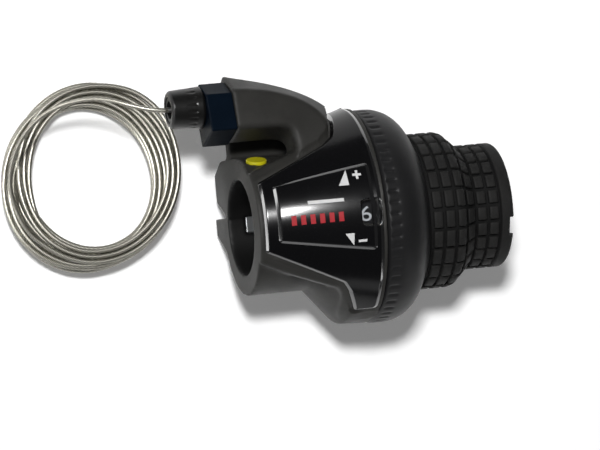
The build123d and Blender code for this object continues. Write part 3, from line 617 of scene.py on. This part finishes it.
class Finish:
    """A material whose nodes are added one by one."""

    def __init__(self, name):
        self.material = bpy.data.materials.new(name)
        self.material.use_nodes = True
        self.tree = self.material.node_tree
        self.shader = self.tree.nodes["Principled BSDF"]
        self.coords = self.node("TexCoord", {}, {}, "Object")

    def node(self, kind, settings, sockets, output=0):
        """Adds a node of a type, with its settings and its sockets' values or links, and gives one output."""
        made = self.tree.nodes.new("ShaderNode" + kind)
        for name, value in settings.items():
            setattr(made, name, value)
        for name, value in sockets.items():
            self.feed(made.inputs[name], value)
        return Wire(self, made.outputs[output])

    def feed(self, socket, value):
        """Links a socket to a wire, or sets its value."""
        if isinstance(value, Wire):
            self.tree.links.new(value.socket, socket)
        elif isinstance(value, tuple) and len(value) == 3 and socket.type == "RGBA":
            socket.default_value = (*value, 1.0)
        else:
            socket.default_value = value

    def set(self, **values):
        """Sets or links the main shader's sockets, named with underscores."""
        for name, value in values.items():
            socket = name.replace("_", " ").title().replace("Ior", "IOR")
            self.feed(self.shader.inputs[socket], value)

    def noise(self, scale, detail=3.0, roughness=0.5):
        """Grain of about one over scale metres."""
        sockets = {"Vector": self.coords, "Scale": scale, "Detail": detail, "Roughness": roughness}
        return self.node("TexNoise", {}, sockets)

    def share(self, value, low, high):
        """How far a value has come from low to high, from 0 to 1."""
        return self.node("MapRange", {}, {"Value": value, "From Min": low, "From Max": high})

    def mix(self, share, first, second):
        """Mix of two colours. The node's colour sockets share names with others, so they go by number."""
        return self.node("Mix", {"data_type": "RGBA"}, {"Factor": share, 6: first, 7: second}, 2)

    def bump(self, height, strength, distance):
        """Small relief from a height, its full depth in millimetres."""
        wire = self.node("Bump", {}, {"Height": height, "Strength": strength, "Distance": distance * MM})
        self.set(normal=wire)


def dimmed(colour, share):
    """A colour at a share of its brightness."""
    return tuple(share * part for part in colour)


def moulded_plastic(name, colour, worn, roughness, grain, sheen=0.25, painted_shade_bore=0.0):
    """Matte moulded plastic with a fine grain and slightly rubbed patches, and painted shade within a bore's
    radius.
    """
    finish = Finish(name)
    patches = finish.noise(scale=90.0, detail=4.0, roughness=0.6)
    rubbed = finish.share(patches, low=0.45, high=0.75)
    fine = finish.noise(scale=2600.0, detail=2.0)
    skin = finish.mix(rubbed * 0.5 + fine * 0.25, colour, worn)
    # painted shade: near black within the bore's radius about the bar's axis, fading out just beyond it
    if painted_shade_bore:
        across = finish.node("SeparateXYZ", {}, {"Vector": finish.coords}, "Y")
        upright = finish.node("SeparateXYZ", {}, {"Vector": finish.coords}, "Z")
        reach = across * across + upright * upright
        outside = finish.share(reach, low=(painted_shade_bore * MM) ** 2, high=((painted_shade_bore + BORE_SHADE_FADE) * MM) ** 2)
        skin = finish.mix(outside, BORE_PAINTED_SHADE, skin)
    finish.set(base_color=skin, specular_ior_level=sheen)
    finish.set(roughness=roughness + 0.1 * fine - 0.08 * rubbed)
    finish.bump(fine, strength=grain, distance=0.06)
    return finish.material


def gloss_plastic(name, colour, roughness, sheen):
    """Polished black plastic with a faint film of handling marks and a bright coat on marked bevels."""
    finish = Finish(name)
    film = finish.noise(scale=160.0, detail=5.0, roughness=0.65)
    dust = finish.noise(scale=5200.0, detail=1.0)
    specks = finish.share(dust, low=0.74, high=0.8)
    finish.set(base_color=finish.mix(specks * 0.25, colour, DUST_COLOUR))
    finish.set(roughness=roughness + 0.06 * film + 0.2 * specks, specular_ior_level=sheen)
    bevel = finish.node("Attribute", {"attribute_name": "bevel"}, {}, "Fac")
    finish.set(coat_weight=bevel, coat_ior=1.85, coat_roughness=0.12)
    return finish.material


def soft_rubber(name, colour, worn):
    """Soft black rubber, matte, with paler rubbed patches."""
    finish = Finish(name)
    patches = finish.noise(scale=240.0, detail=4.0, roughness=0.6)
    fine = finish.noise(scale=2300.0, detail=3.0, roughness=0.6)
    finish.set(base_color=finish.mix(patches * fine * 1.6, colour, worn))
    finish.set(roughness=0.58 + 0.25 * fine, specular_ior_level=0.22)
    finish.bump(fine, strength=0.5, distance=0.08)
    return finish.material


def plated_steel(name, colour, roughness, brush):
    """Plated steel with fine drawn lines along the bar."""
    finish = Finish(name)
    stretched = finish.node("Mapping", {}, {"Vector": finish.coords, "Scale": (120.0, 2600.0, 2600.0)})
    lines = finish.node("TexNoise", {}, {"Vector": stretched, "Scale": 1.0, "Detail": 3.0})
    dull = finish.noise(scale=300.0)
    finish.set(base_color=finish.mix(dull * 0.5, colour, dimmed(colour, 0.55)))
    finish.set(metallic=1.0, roughness=roughness + 0.15 * lines)
    finish.bump(lines, strength=brush, distance=0.03)
    return finish.material


def cable_steel(name):
    """Stranded steel cable, dark between its strands."""
    finish = Finish(name)
    groove = finish.node("Attribute", {"attribute_name": "groove"}, {}, "Fac")
    dull = finish.noise(scale=420.0)
    steel = finish.mix(dull, STRAND_BRIGHT, STRAND_DULL)
    finish.set(base_color=finish.mix(groove * 0.7, steel, STRAND_GROOVE))
    finish.set(metallic=1.0, roughness=0.32 + 0.18 * dull)
    return finish.material


def plain_print(name, colour):
    """Printed ink, slightly uneven."""
    finish = Finish(name)
    uneven = finish.noise(scale=1500.0, detail=2.0)
    finish.set(base_color=finish.mix(uneven * 0.5, colour, dimmed(colour, 0.75)))
    finish.set(roughness=0.4 + 0.15 * uneven, specular_ior_level=0.15)
    return finish.material


def clear_window(name):
    """Clear plastic, seen through, with a polished face."""
    finish = Finish(name)
    film = finish.noise(scale=260.0, detail=4.0, roughness=0.6)
    finish.set(base_color=WINDOW_COLOUR, roughness=0.04 + 0.06 * film, alpha=0.12)
    return finish.material


# Pieces


def make_cable():
    """The free cable in one length: the lead out of the adjuster and the tilted coil."""
    path = cable_spline()
    made = stranded_tube("gear_cable", path, CABLE_RADIUS * MM, CABLE_STRANDS, CABLE_LAY * MM)
    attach(made, "housing")
    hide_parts("cable_lead", "cable_coil")
    return made


def make_housing():
    """The housing's moulding with rounded edges, its seat under the cover filled."""
    made = soft_copy(("housing", "display_cover"), "housing_moulding", HOUSING_VOXEL, HOUSING_ROUNDS)
    under = cover_loop()
    around = inset(under, -SEAT_MARGIN)
    for vertex in made.data.vertices:
        x, y, z = vertex.co / MM
        found = math.hypot(y, z)
        point = Vector((x, FLAT_RADIUS * math.atan2(y, z)))
        if found > cone_radius(x, -SEAT_DEPTH) and inside(point, around):
            wanted = cone_radius(x, -SEAT_DEPTH if inside(point, under) else 0.0)
            vertex.co.y *= min(1.0, wanted / found)
            vertex.co.z *= min(1.0, wanted / found)
    made.data.update()
    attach(made, "housing")
    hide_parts("housing")
    return made


def make_cover():
    """The gloss cover: a plate on the display cone, with a hole for the window."""
    plate = [(cover_loop(), COVER_EDGE), window_hole()]
    made = cone_plates("display_cover_shell", [plate], COVER_LOW, lambda x: COVER_PROUD, FILL_STEP)
    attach(made, "housing")
    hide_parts("display_cover")
    return made


def make_panel():
    """The gloss panel on the cover, slightly crowned."""
    outline = unrolled(rounded(PANEL_OUTLINE, PANEL_CORNER), OUTLINE_STEP)
    plate = [(outline, PANEL_EDGE), window_hole()]
    made = cone_plates("display_panel_shell", [plate], PANEL_LOW, panel_lift, FILL_STEP)
    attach(made, "housing")
    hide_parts("display_panel")
    return made


def make_small_mouldings():
    """The adjuster's collar and barrel, the plug and the nut, with rounded edges."""
    made = {}
    for node, name, body, slot in (
        ("adjuster_collar", "collar_block", "housing", "collar_plastic"),
        ("adjuster_barrel", "barrel_knob", "barrel", "barrel_plastic"),
        ("cable_port_plug", "port_plug", "housing", "plug_plastic"),
        ("clamp_nut", "square_nut", "housing", "steel"),
    ):
        piece = soft_copy((node,), name, SMALL_VOXEL, SMALL_ROUNDS)
        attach(piece, body)
        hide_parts(node)
        made[node] = piece
    return made


def make_twist_ring():
    """The twist ring, with rounded edges."""
    made = soft_copy(("twist_ring",), "twist_ring_shell", RING_VOXEL, RING_ROUNDS)
    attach(made, "grip")
    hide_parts("twist_ring")
    return made


def knurl_tree(material):
    """Geometry Nodes that lay rounded blocks flat in rows and columns, then roll them onto the rubber."""
    tree = bpy.data.node_groups.new("knurl_blocks", "GeometryNodeTree")
    face = tree.interface
    face.new_socket("Geometry", in_out="INPUT", socket_type="NodeSocketGeometry")
    face.new_socket("Geometry", in_out="OUTPUT", socket_type="NodeSocketGeometry")
    inputs = {}
    for name, kind in (
        ("Block", "NodeSocketObject"),
        ("Rows", "NodeSocketInt"),
        ("Columns", "NodeSocketInt"),
        ("Pitch", "NodeSocketFloat"),
        ("Groove", "NodeSocketFloat"),
        ("First Column", "NodeSocketFloat"),
        ("Slope Start", "NodeSocketFloat"),
        ("Slope End", "NodeSocketFloat"),
        ("Large Radius", "NodeSocketFloat"),
        ("Small Radius", "NodeSocketFloat"),
    ):
        inputs[name] = face.new_socket(name, in_out="INPUT", socket_type=kind).identifier
    group_in = tree.nodes.new("NodeGroupInput")
    group_out = tree.nodes.new("NodeGroupOutput")

    def add(kind, settings, sockets, output=0):
        made = tree.nodes.new(kind)
        for name, value in settings.items():
            setattr(made, name, value)
        for name, value in sockets.items():
            if isinstance(value, bpy.types.NodeSocket):
                tree.links.new(value, made.inputs[name])
            else:
                made.inputs[name].default_value = value
        return made.outputs[output]

    def sums(operation, first, second):
        return add("ShaderNodeMath", {"operation": operation}, {0: first, 1: second})

    def size(name):
        return group_in.outputs[name]

    def radius_at(x):
        return add(
            "ShaderNodeMapRange",
            {"interpolation_type": "SMOOTHSTEP"},
            {
                "Value": x,
                "From Min": size("Slope Start"),
                "From Max": size("Slope End"),
                "To Min": size("Large Radius"),
                "To Max": size("Small Radius"),
            },
        )

    count = sums("MULTIPLY", size("Rows"), size("Columns"))
    points = add("GeometryNodePoints", {}, {"Count": count})
    index = add("GeometryNodeInputIndex", {}, {})
    column = sums("FLOORED_MODULO", index, size("Columns"))
    row = sums("FLOOR", sums("DIVIDE", index, size("Columns")), 0.0)
    x = sums("ADD", size("First Column"), sums("MULTIPLY", column, size("Pitch")))
    step = sums("DIVIDE", 2 * math.pi, size("Rows"))
    angle = sums("MULTIPLY", sums("ADD", row, 0.5), step)
    place = add("ShaderNodeCombineXYZ", {}, {"X": x, "Y": angle})
    placed = add("GeometryNodeSetPosition", {}, {"Geometry": points, "Position": place})
    length = sums("SUBTRACT", size("Pitch"), size("Groove"))
    width = sums("SUBTRACT", step, sums("DIVIDE", size("Groove"), radius_at(x)))
    scale = add("ShaderNodeCombineXYZ", {}, {"X": length, "Y": width, "Z": 1.0})
    block = add("GeometryNodeObjectInfo", {}, {"Object": size("Block")}, "Geometry")
    blocks = add("GeometryNodeInstanceOnPoints", {}, {"Points": placed, "Instance": block, "Scale": scale})
    flat = add("GeometryNodeRealizeInstances", {}, {"Geometry": blocks})
    spot = add("GeometryNodeInputPosition", {}, {})
    parts = tree.nodes.new("ShaderNodeSeparateXYZ")
    tree.links.new(spot, parts.inputs[0])
    reach = sums("ADD", radius_at(parts.outputs["X"]), parts.outputs["Z"])
    across = sums("MULTIPLY", reach, sums("SINE", parts.outputs["Y"], 0.0))
    upright = sums("MULTIPLY", reach, sums("COSINE", parts.outputs["Y"], 0.0))
    rolled = add("ShaderNodeCombineXYZ", {}, {"X": parts.outputs["X"], "Y": across, "Z": upright})
    wrapped = add("GeometryNodeSetPosition", {}, {"Geometry": flat, "Position": rolled})
    dressed = add("GeometryNodeSetMaterial", {}, {"Geometry": wrapped, "Material": material})
    tree.links.new(dressed, group_out.inputs[0])
    return tree, inputs


def block_template():
    """One block of the knurl with rounded upper edges, one unit long and wide, its top at height 0."""
    length = KNURL_PITCH - KNURL_GROOVE
    width = 2 * math.pi * RUBBER_LARGE_RADIUS / KNURL_ROWS - KNURL_GROOVE
    depth = KNURL_DEPTH + BLOCK_ROOT
    work = bmesh.new()
    bmesh.ops.create_cube(work, size=1.0)
    for vertex in work.verts:
        vertex.co.x *= length
        vertex.co.y *= width
        vertex.co.z = (vertex.co.z - 0.5) * depth
    edges = [edge for edge in work.edges if max(vertex.co.z for vertex in edge.verts) > -depth / 2]
    bmesh.ops.bevel(
        work, geom=edges, offset=BLOCK_EDGE, segments=BLOCK_EDGE_STEPS, profile=0.5, affect="EDGES"
    )
    for share in BLOCK_CUTS:
        geometry = work.verts[:] + work.edges[:] + work.faces[:]
        bmesh.ops.bisect_plane(work, geom=geometry, plane_co=(share * length, 0, 0), plane_no=(1, 0, 0))
    for vertex in work.verts:
        vertex.co.x /= length
        vertex.co.y /= width
        vertex.co.z *= MM
    for face in work.faces:
        face.smooth = True
    mesh = bpy.data.meshes.new("knurl_block")
    work.to_mesh(mesh)
    work.free()
    return new_object("knurl_block", mesh)


def make_knurl(material):
    """The raised blocks of the rubber grip."""
    template = block_template()
    tree, inputs = knurl_tree(material)
    made = new_object("grip_knurl", bpy.data.meshes.new("grip_knurl"))
    modifier = made.modifiers.new("knurl", "NODES")
    modifier.node_group = tree
    sizes = {
        "Block": template,
        "Rows": KNURL_ROWS,
        "Columns": KNURL_COLUMNS,
        "Pitch": KNURL_PITCH * MM,
        "Groove": KNURL_GROOVE * MM,
        "First Column": (KNURL_START_X + (KNURL_PITCH - KNURL_GROOVE) / 2) * MM,
        "Slope Start": SLOPE_START_X * MM,
        "Slope End": SLOPE_END_X * MM,
        "Large Radius": RUBBER_LARGE_RADIUS * MM,
        "Small Radius": RUBBER_SMALL_RADIUS * MM,
    }
    for name, value in sizes.items():
        modifier[inputs[name]] = value
    settle(made)
    bpy.data.objects.remove(template)
    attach(made, "grip")


def make_rubber(lip_material, shaded_groove_material):
    """The rubber's sleeve and end lip, under the blocks, with painted shade on the sleeve between the blocks.
    """
    floor_large = RUBBER_LARGE_RADIUS - KNURL_DEPTH
    floor_small = RUBBER_SMALL_RADIUS - KNURL_DEPTH
    lip_centre = (RUBBER_END_X - LIP_ROUND, RUBBER_SMALL_RADIUS - LIP_ROUND)
    lip_end = arc_points(lip_centre, LIP_ROUND, 90, 0, LIP_ROUND_STEPS)
    slope = []
    for step in range(SLOPE_STEPS + 1):
        share = step / SLOPE_STEPS
        fall = share * share * (3 - 2 * share)
        x = SLOPE_START_X + (SLOPE_END_X - SLOPE_START_X) * share
        slope.append((x, floor_large + (floor_small - floor_large) * fall))
    profile = [
        (RUBBER_START_X, CORE_LARGE_RADIUS),
        (RUBBER_START_X, floor_large - SLEEVE_CHAMFER),
        (RUBBER_START_X + SLEEVE_CHAMFER, floor_large),
        *slope,
        (KNURL_END_X - LIP_WALL_SLANT, floor_small),
        (KNURL_END_X, RUBBER_SMALL_RADIUS - LIP_CHAMFER),
        (KNURL_END_X + LIP_CHAMFER, RUBBER_SMALL_RADIUS),
        *lip_end,
        (RUBBER_END_X, LIP_BORE_RADIUS + LIP_CHAMFER),
        (RUBBER_END_X - LIP_CHAMFER, LIP_BORE_RADIUS),
        (CORE_END_X, LIP_BORE_RADIUS),
        (CORE_END_X, CORE_SMALL_RADIUS),
        (CORE_STEP_X, CORE_SMALL_RADIUS),
        (CORE_STEP_X, CORE_LARGE_RADIUS),
    ]
    made = lathe("grip_sleeve", profile, SLEEVE_SEGMENTS)
    tool = mesh_from("notch_tool", *notch_block(), smooth=False)
    cut = made.modifiers.new("notch", "BOOLEAN")
    cut.operation = "DIFFERENCE"
    cut.object = tool
    settle(made)
    bpy.data.objects.remove(tool)
    made.data.set_sharp_from_angle(angle=math.radians(SLEEVE_SHARP_ANGLE))
    made.data.materials.clear()
    made.data.materials.append(lip_material)
    made.data.materials.append(shaded_groove_material)
    # the faces between the blocks take a darker copy of the rubber: painted shade in the grooves
    for face in made.data.polygons:
        face.material_index = int(face.center.x < KNURL_END_X * MM)
    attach(made, "grip")
    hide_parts("grip_rubber")


def notch_block():
    """Points and faces of the block that cuts the notch into the rubber's end lip."""
    low = (RUBBER_END_X - LIP_NOTCH_DEPTH, -LIP_NOTCH_WIDTH / 2, LIP_BORE_RADIUS - NOTCH_UNDERCUT)
    high = (RUBBER_END_X + NOTCH_OVERCUT, LIP_NOTCH_WIDTH / 2, RUBBER_SMALL_RADIUS + NOTCH_OVERCUT)
    corners = [(x, y, z) for x in (low[0], high[0]) for y in (low[1], high[1]) for z in (low[2], high[2])]
    turn = Matrix.Rotation(math.radians(LIP_NOTCH_ANGLE), 3, "X")
    points = [turn @ Vector(corner) for corner in corners]
    faces = [(0, 1, 3, 2), (4, 6, 7, 5), (0, 4, 5, 1), (2, 3, 7, 6), (0, 2, 6, 4), (1, 5, 7, 3)]
    return points, faces


def print_marks(name, outlines, material):
    """Thin printed marks on the panel, from outlines in the bar's plane."""
    plates = [[(unrolled(outline, MARK_STEP), MARK_EDGE)] for outline in outlines]
    made = cone_plates(name, plates, PANEL_PROUD - MARK_ROOT, lambda x: panel_lift(x) + MARK_RISE, MARK_STEP)
    made.data.materials.append(material)
    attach(made, "housing")


def rectangle(x, y, width, height):
    """Outline of an upright rectangle."""
    half_width = width / 2
    half_height = height / 2
    return [
        (x - half_width, y - half_height),
        (x + half_width, y - half_height),
        (x + half_width, y + half_height),
        (x - half_width, y + half_height),
    ]


def pointer(x, y, width, height, way):
    """Outline of a leaning triangle that points up or down; way is 1 for up and -1 for down."""
    shape = [(-width / 2, -height / 2), (width / 2, -height / 2), (POINTER_LEAN * width, height / 2)]
    outline = [(x + across, y + way * along) for across, along in shape]
    return outline[::way]


def cross(x, y, reach, half):
    """Outline of a plus sign."""
    shape = [
        (-half, -reach),
        (half, -reach),
        (half, -half),
        (reach, -half),
        (reach, half),
        (half, half),
        (half, reach),
        (-half, reach),
        (-half, half),
        (-reach, half),
        (-reach, -half),
        (-half, -half),
    ]
    return [(x + across, y + along) for across, along in shape]


def make_marks(white, red):
    """The panel's print: pointers with their signs, a plain stripe and a row of bars."""
    outlines = [
        pointer(x=19.3, y=8.9, width=2.3, height=3.4, way=1),
        cross(x=22.5, y=9.4, reach=0.95, half=0.26),
        pointer(x=19.4, y=-4.8, width=2.0, height=2.7, way=-1),
        rectangle(x=22.2, y=-5.3, width=1.9, height=0.55),
        rectangle(x=14.8, y=4.1, width=8.0, height=0.75),
    ]
    print_marks("white_marks", outlines, white)
    bars = [rectangle(RED_FIRST_X + number * RED_PITCH, RED_Y, *RED_SIZE) for number in range(RED_BARS)]
    print_marks("red_bars", bars, red)


def make_numerals(material):
    """The gear numbers around the number ring, the highest under the window at rest."""
    work = bmesh.new()
    for gear in range(1, GEARS + 1):
        text = bpy.data.curves.new("numeral", "FONT")
        text.body = str(gear)
        text.align_x = "CENTER"
        text.align_y = "CENTER"
        text.size = NUMBER_HEIGHT * NUMBER_SIZE_SHARE
        holder = new_object("numeral", text)
        bpy.context.view_layer.update()
        mesh = bpy.data.meshes.new_from_object(holder)
        around = math.radians(NUMBER_ANGLE + (GEARS - gear) * CLICK_ANGLE)
        part = bmesh.new()
        part.from_mesh(mesh)
        bmesh.ops.subdivide_edges(part, edges=part.edges, cuts=1)
        for vertex in part.verts:
            angle = around + vertex.co.y / NUMBER_RING_RADIUS
            radius = NUMBER_RING_RADIUS + NUMBER_RISE
            x = NUMBER_X + vertex.co.x * NUMBER_WIDTH_SHARE
            vertex.co = Vector((x, radius * math.sin(angle), radius * math.cos(angle))) * MM
        part.to_mesh(mesh)
        part.free()
        work.from_mesh(mesh)
        bpy.data.objects.remove(holder)
        bpy.data.curves.remove(text)
        bpy.data.meshes.remove(mesh)
    mesh = bpy.data.meshes.new("gear_numerals")
    work.to_mesh(mesh)
    work.free()
    mesh.materials.append(material)
    made = new_object("gear_numerals", mesh)
    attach(made, "grip")


# Floor and light


def make_floor():
    """Pale floor that the camera sees as white, darker only where the object shades it."""
    corners = rectangle(0, 0, 2 * FLOOR_REACH, 2 * FLOOR_REACH)
    points = [(x, y, FLOOR_Z - FLOOR_GAP) for x, y in corners]
    floor = mesh_from("floor", points, [(0, 1, 2, 3)], smooth=False)
    finish = Finish("floor")
    camera = finish.node("LightPath", {}, {}, "Is Camera Ray")
    glossy = finish.node("LightPath", {}, {}, "Is Glossy Ray")
    through = finish.node("LightPath", {}, {}, "Is Transmission Ray")
    seen = camera + glossy + through
    finish.set(base_color=FLOOR_COLOUR, roughness=1.0, specular_ior_level=0.0)
    finish.set(emission_color=FLOOR_GLOW * seen, emission_strength=1.0)
    dress(floor, finish.material)


def make_lamp(name, place, aim, size, watts):
    """An area lamp in millimetres, pointed at a place."""
    lamp = bpy.data.lights.new(name, "AREA")
    lamp.shape = "RECTANGLE"
    lamp.size = size[0] * MM
    lamp.size_y = size[1] * MM
    lamp.energy = watts
    made = bpy.data.objects.new(name, lamp)
    made.location = Vector(place) * MM
    made.rotation_euler = (Vector(aim) - Vector(place)).to_track_quat("-Z", "Y").to_euler()
    bpy.context.collection.objects.link(made)
    return made


def make_light():
    """Soft studio light: a key for light and shadow, lamps that only show in gloss, and a pale surround."""
    key = make_lamp("key", place=(-269, 235, 1060), aim=KEY_AIM, size=(110, 110), watts=12.8)
    key.visible_glossy = False
    gloss_lamps = [
        make_lamp("mirrored_key", place=(-480, 290, 1060), aim=KEY_AIM, size=(170, 90), watts=13.0),
        make_lamp("strip", place=(-526, 40, 192), aim=ORIGIN, size=(800, 120), watts=1.7),
        make_lamp("front", place=(-100, -560, 130), aim=ORIGIN, size=(500, 120), watts=0.2),
        make_lamp("spark", place=(403, -524, 235), aim=(27, -11, 18), size=(90, 270), watts=0.3),
    ]
    for lamp in gloss_lamps:
        lamp.visible_diffuse = False
    world = bpy.data.worlds.new("surround")
    world.use_nodes = True
    background = world.node_tree.nodes["Background"]
    background.inputs["Color"].default_value = SURROUND_COLOUR
    background.inputs["Strength"].default_value = SURROUND_STRENGTH
    bpy.context.scene.world = world
    bpy.context.scene.view_settings.view_transform = "Standard"


def dress(piece, material):
    """Gives a piece one material."""
    piece.data.materials.clear()
    piece.data.materials.append(material)


def dress_node(node, material):
    """Gives a CAD node's slots one material, its mesh left as it is."""
    piece = nodes[node]
    if not piece.material_slots:
        piece.data.materials.append(material)
    for slot in piece.material_slots:
        slot.material = material


make_camera()
cable = make_cable()

# Materials
housing_matte = moulded_plastic(
    "housing_matte",
    colour=(0.018, 0.0175, 0.016),
    worn=(0.036, 0.035, 0.032),
    roughness=0.5,
    grain=0.35,
    painted_shade_bore=11.4,
)
ring_satin = moulded_plastic(
    "ring_satin",
    colour=(0.008, 0.008, 0.0085),
    worn=(0.016, 0.016, 0.017),
    roughness=0.45,
    grain=0.15,
)
collar_navy = moulded_plastic(
    "collar_navy",
    colour=(0.001, 0.0035, 0.008),
    worn=(0.003, 0.007, 0.014),
    roughness=0.4,
    grain=0.2,
    sheen=0.05,
)
barrel_satin = moulded_plastic(
    "barrel_satin",
    colour=(0.004, 0.004, 0.004),
    worn=(0.009, 0.009, 0.0085),
    roughness=0.3,
    grain=0.1,
    sheen=0.4,
)
plug_yellow = moulded_plastic(
    "plug_yellow",
    colour=(0.5, 0.46, 0.008),
    worn=(0.38, 0.34, 0.01),
    roughness=0.4,
    grain=0.1,
)
core_grey = moulded_plastic(
    "core_grey",
    colour=(0.25, 0.25, 0.25),
    worn=(0.32, 0.32, 0.31),
    roughness=0.4,
    grain=0.1,
)
number_black = moulded_plastic(
    "number_black",
    colour=(0.008, 0.008, 0.009),
    worn=(0.014, 0.014, 0.015),
    roughness=0.5,
    grain=0.1,
)
cover_black = gloss_plastic("cover_black", colour=(0.003, 0.003, 0.0035), roughness=0.15, sheen=0.22)
panel_black = gloss_plastic("panel_black", colour=(0.003, 0.003, 0.0035), roughness=0.12, sheen=0.28)
window_clear = clear_window("window_clear")
rubber_black = soft_rubber("rubber_black", colour=(0.007, 0.007, 0.0068), worn=(0.02, 0.0195, 0.019))
# a darker copy of the rubber, as painted shade between the grip's blocks
rubber_painted_shade = soft_rubber("rubber_painted_shade", colour=(0.003, 0.003, 0.003), worn=(0.008, 0.008, 0.008))
zinc_steel = plated_steel("zinc_steel", colour=(0.5, 0.52, 0.53), roughness=0.25, brush=0.2)
black_steel = plated_steel("black_steel", colour=(0.03, 0.03, 0.032), roughness=0.4, brush=0.2)
spring_steel = plated_steel("spring_steel", colour=(0.38, 0.38, 0.38), roughness=0.3, brush=0.3)
strand_steel = cable_steel("strand_steel")
white_print = plain_print("white_print", colour=(0.62, 0.62, 0.62))
red_print = plain_print("red_print", colour=(0.36, 0.01, 0.017))
grey_print = plain_print("grey_print", colour=(0.7, 0.73, 0.77))

# Pieces and the CAD nodes that stay, with their materials
dress(cable, strand_steel)
dress(make_housing(), housing_matte)
dress(make_cover(), cover_black)
dress(make_panel(), panel_black)
small = make_small_mouldings()
dress(small["adjuster_collar"], collar_navy)
dress(small["adjuster_barrel"], barrel_satin)
dress(small["cable_port_plug"], plug_yellow)
dress(small["clamp_nut"], zinc_steel)
dress(make_twist_ring(), ring_satin)
make_knurl(rubber_black)
make_rubber(rubber_black, rubber_painted_shade)
make_marks(white_print, red_print)
make_numerals(grey_print)
for node, material in (
    ("gear_window", window_clear),
    ("clamp_bolt", black_steel),
    ("clamp_washer", black_steel),
    ("barrel_seal", rubber_black),
    ("casing_stop", barrel_satin),
    ("cable_guide", core_grey),
    ("inner_cable", spring_steel),
    ("grip_core", core_grey),
    ("cable_nipple", zinc_steel),
    ("detent_ring", spring_steel),
    ("number_ring", number_black),
    ("thrust_washer", core_grey),
    ("dust_seal", rubber_black),
    ("retaining_clip", spring_steel),
    ("detent_spring", spring_steel),
):
    dress_node(node, material)
make_floor()
make_light()

bpy.context.view_layer.update()
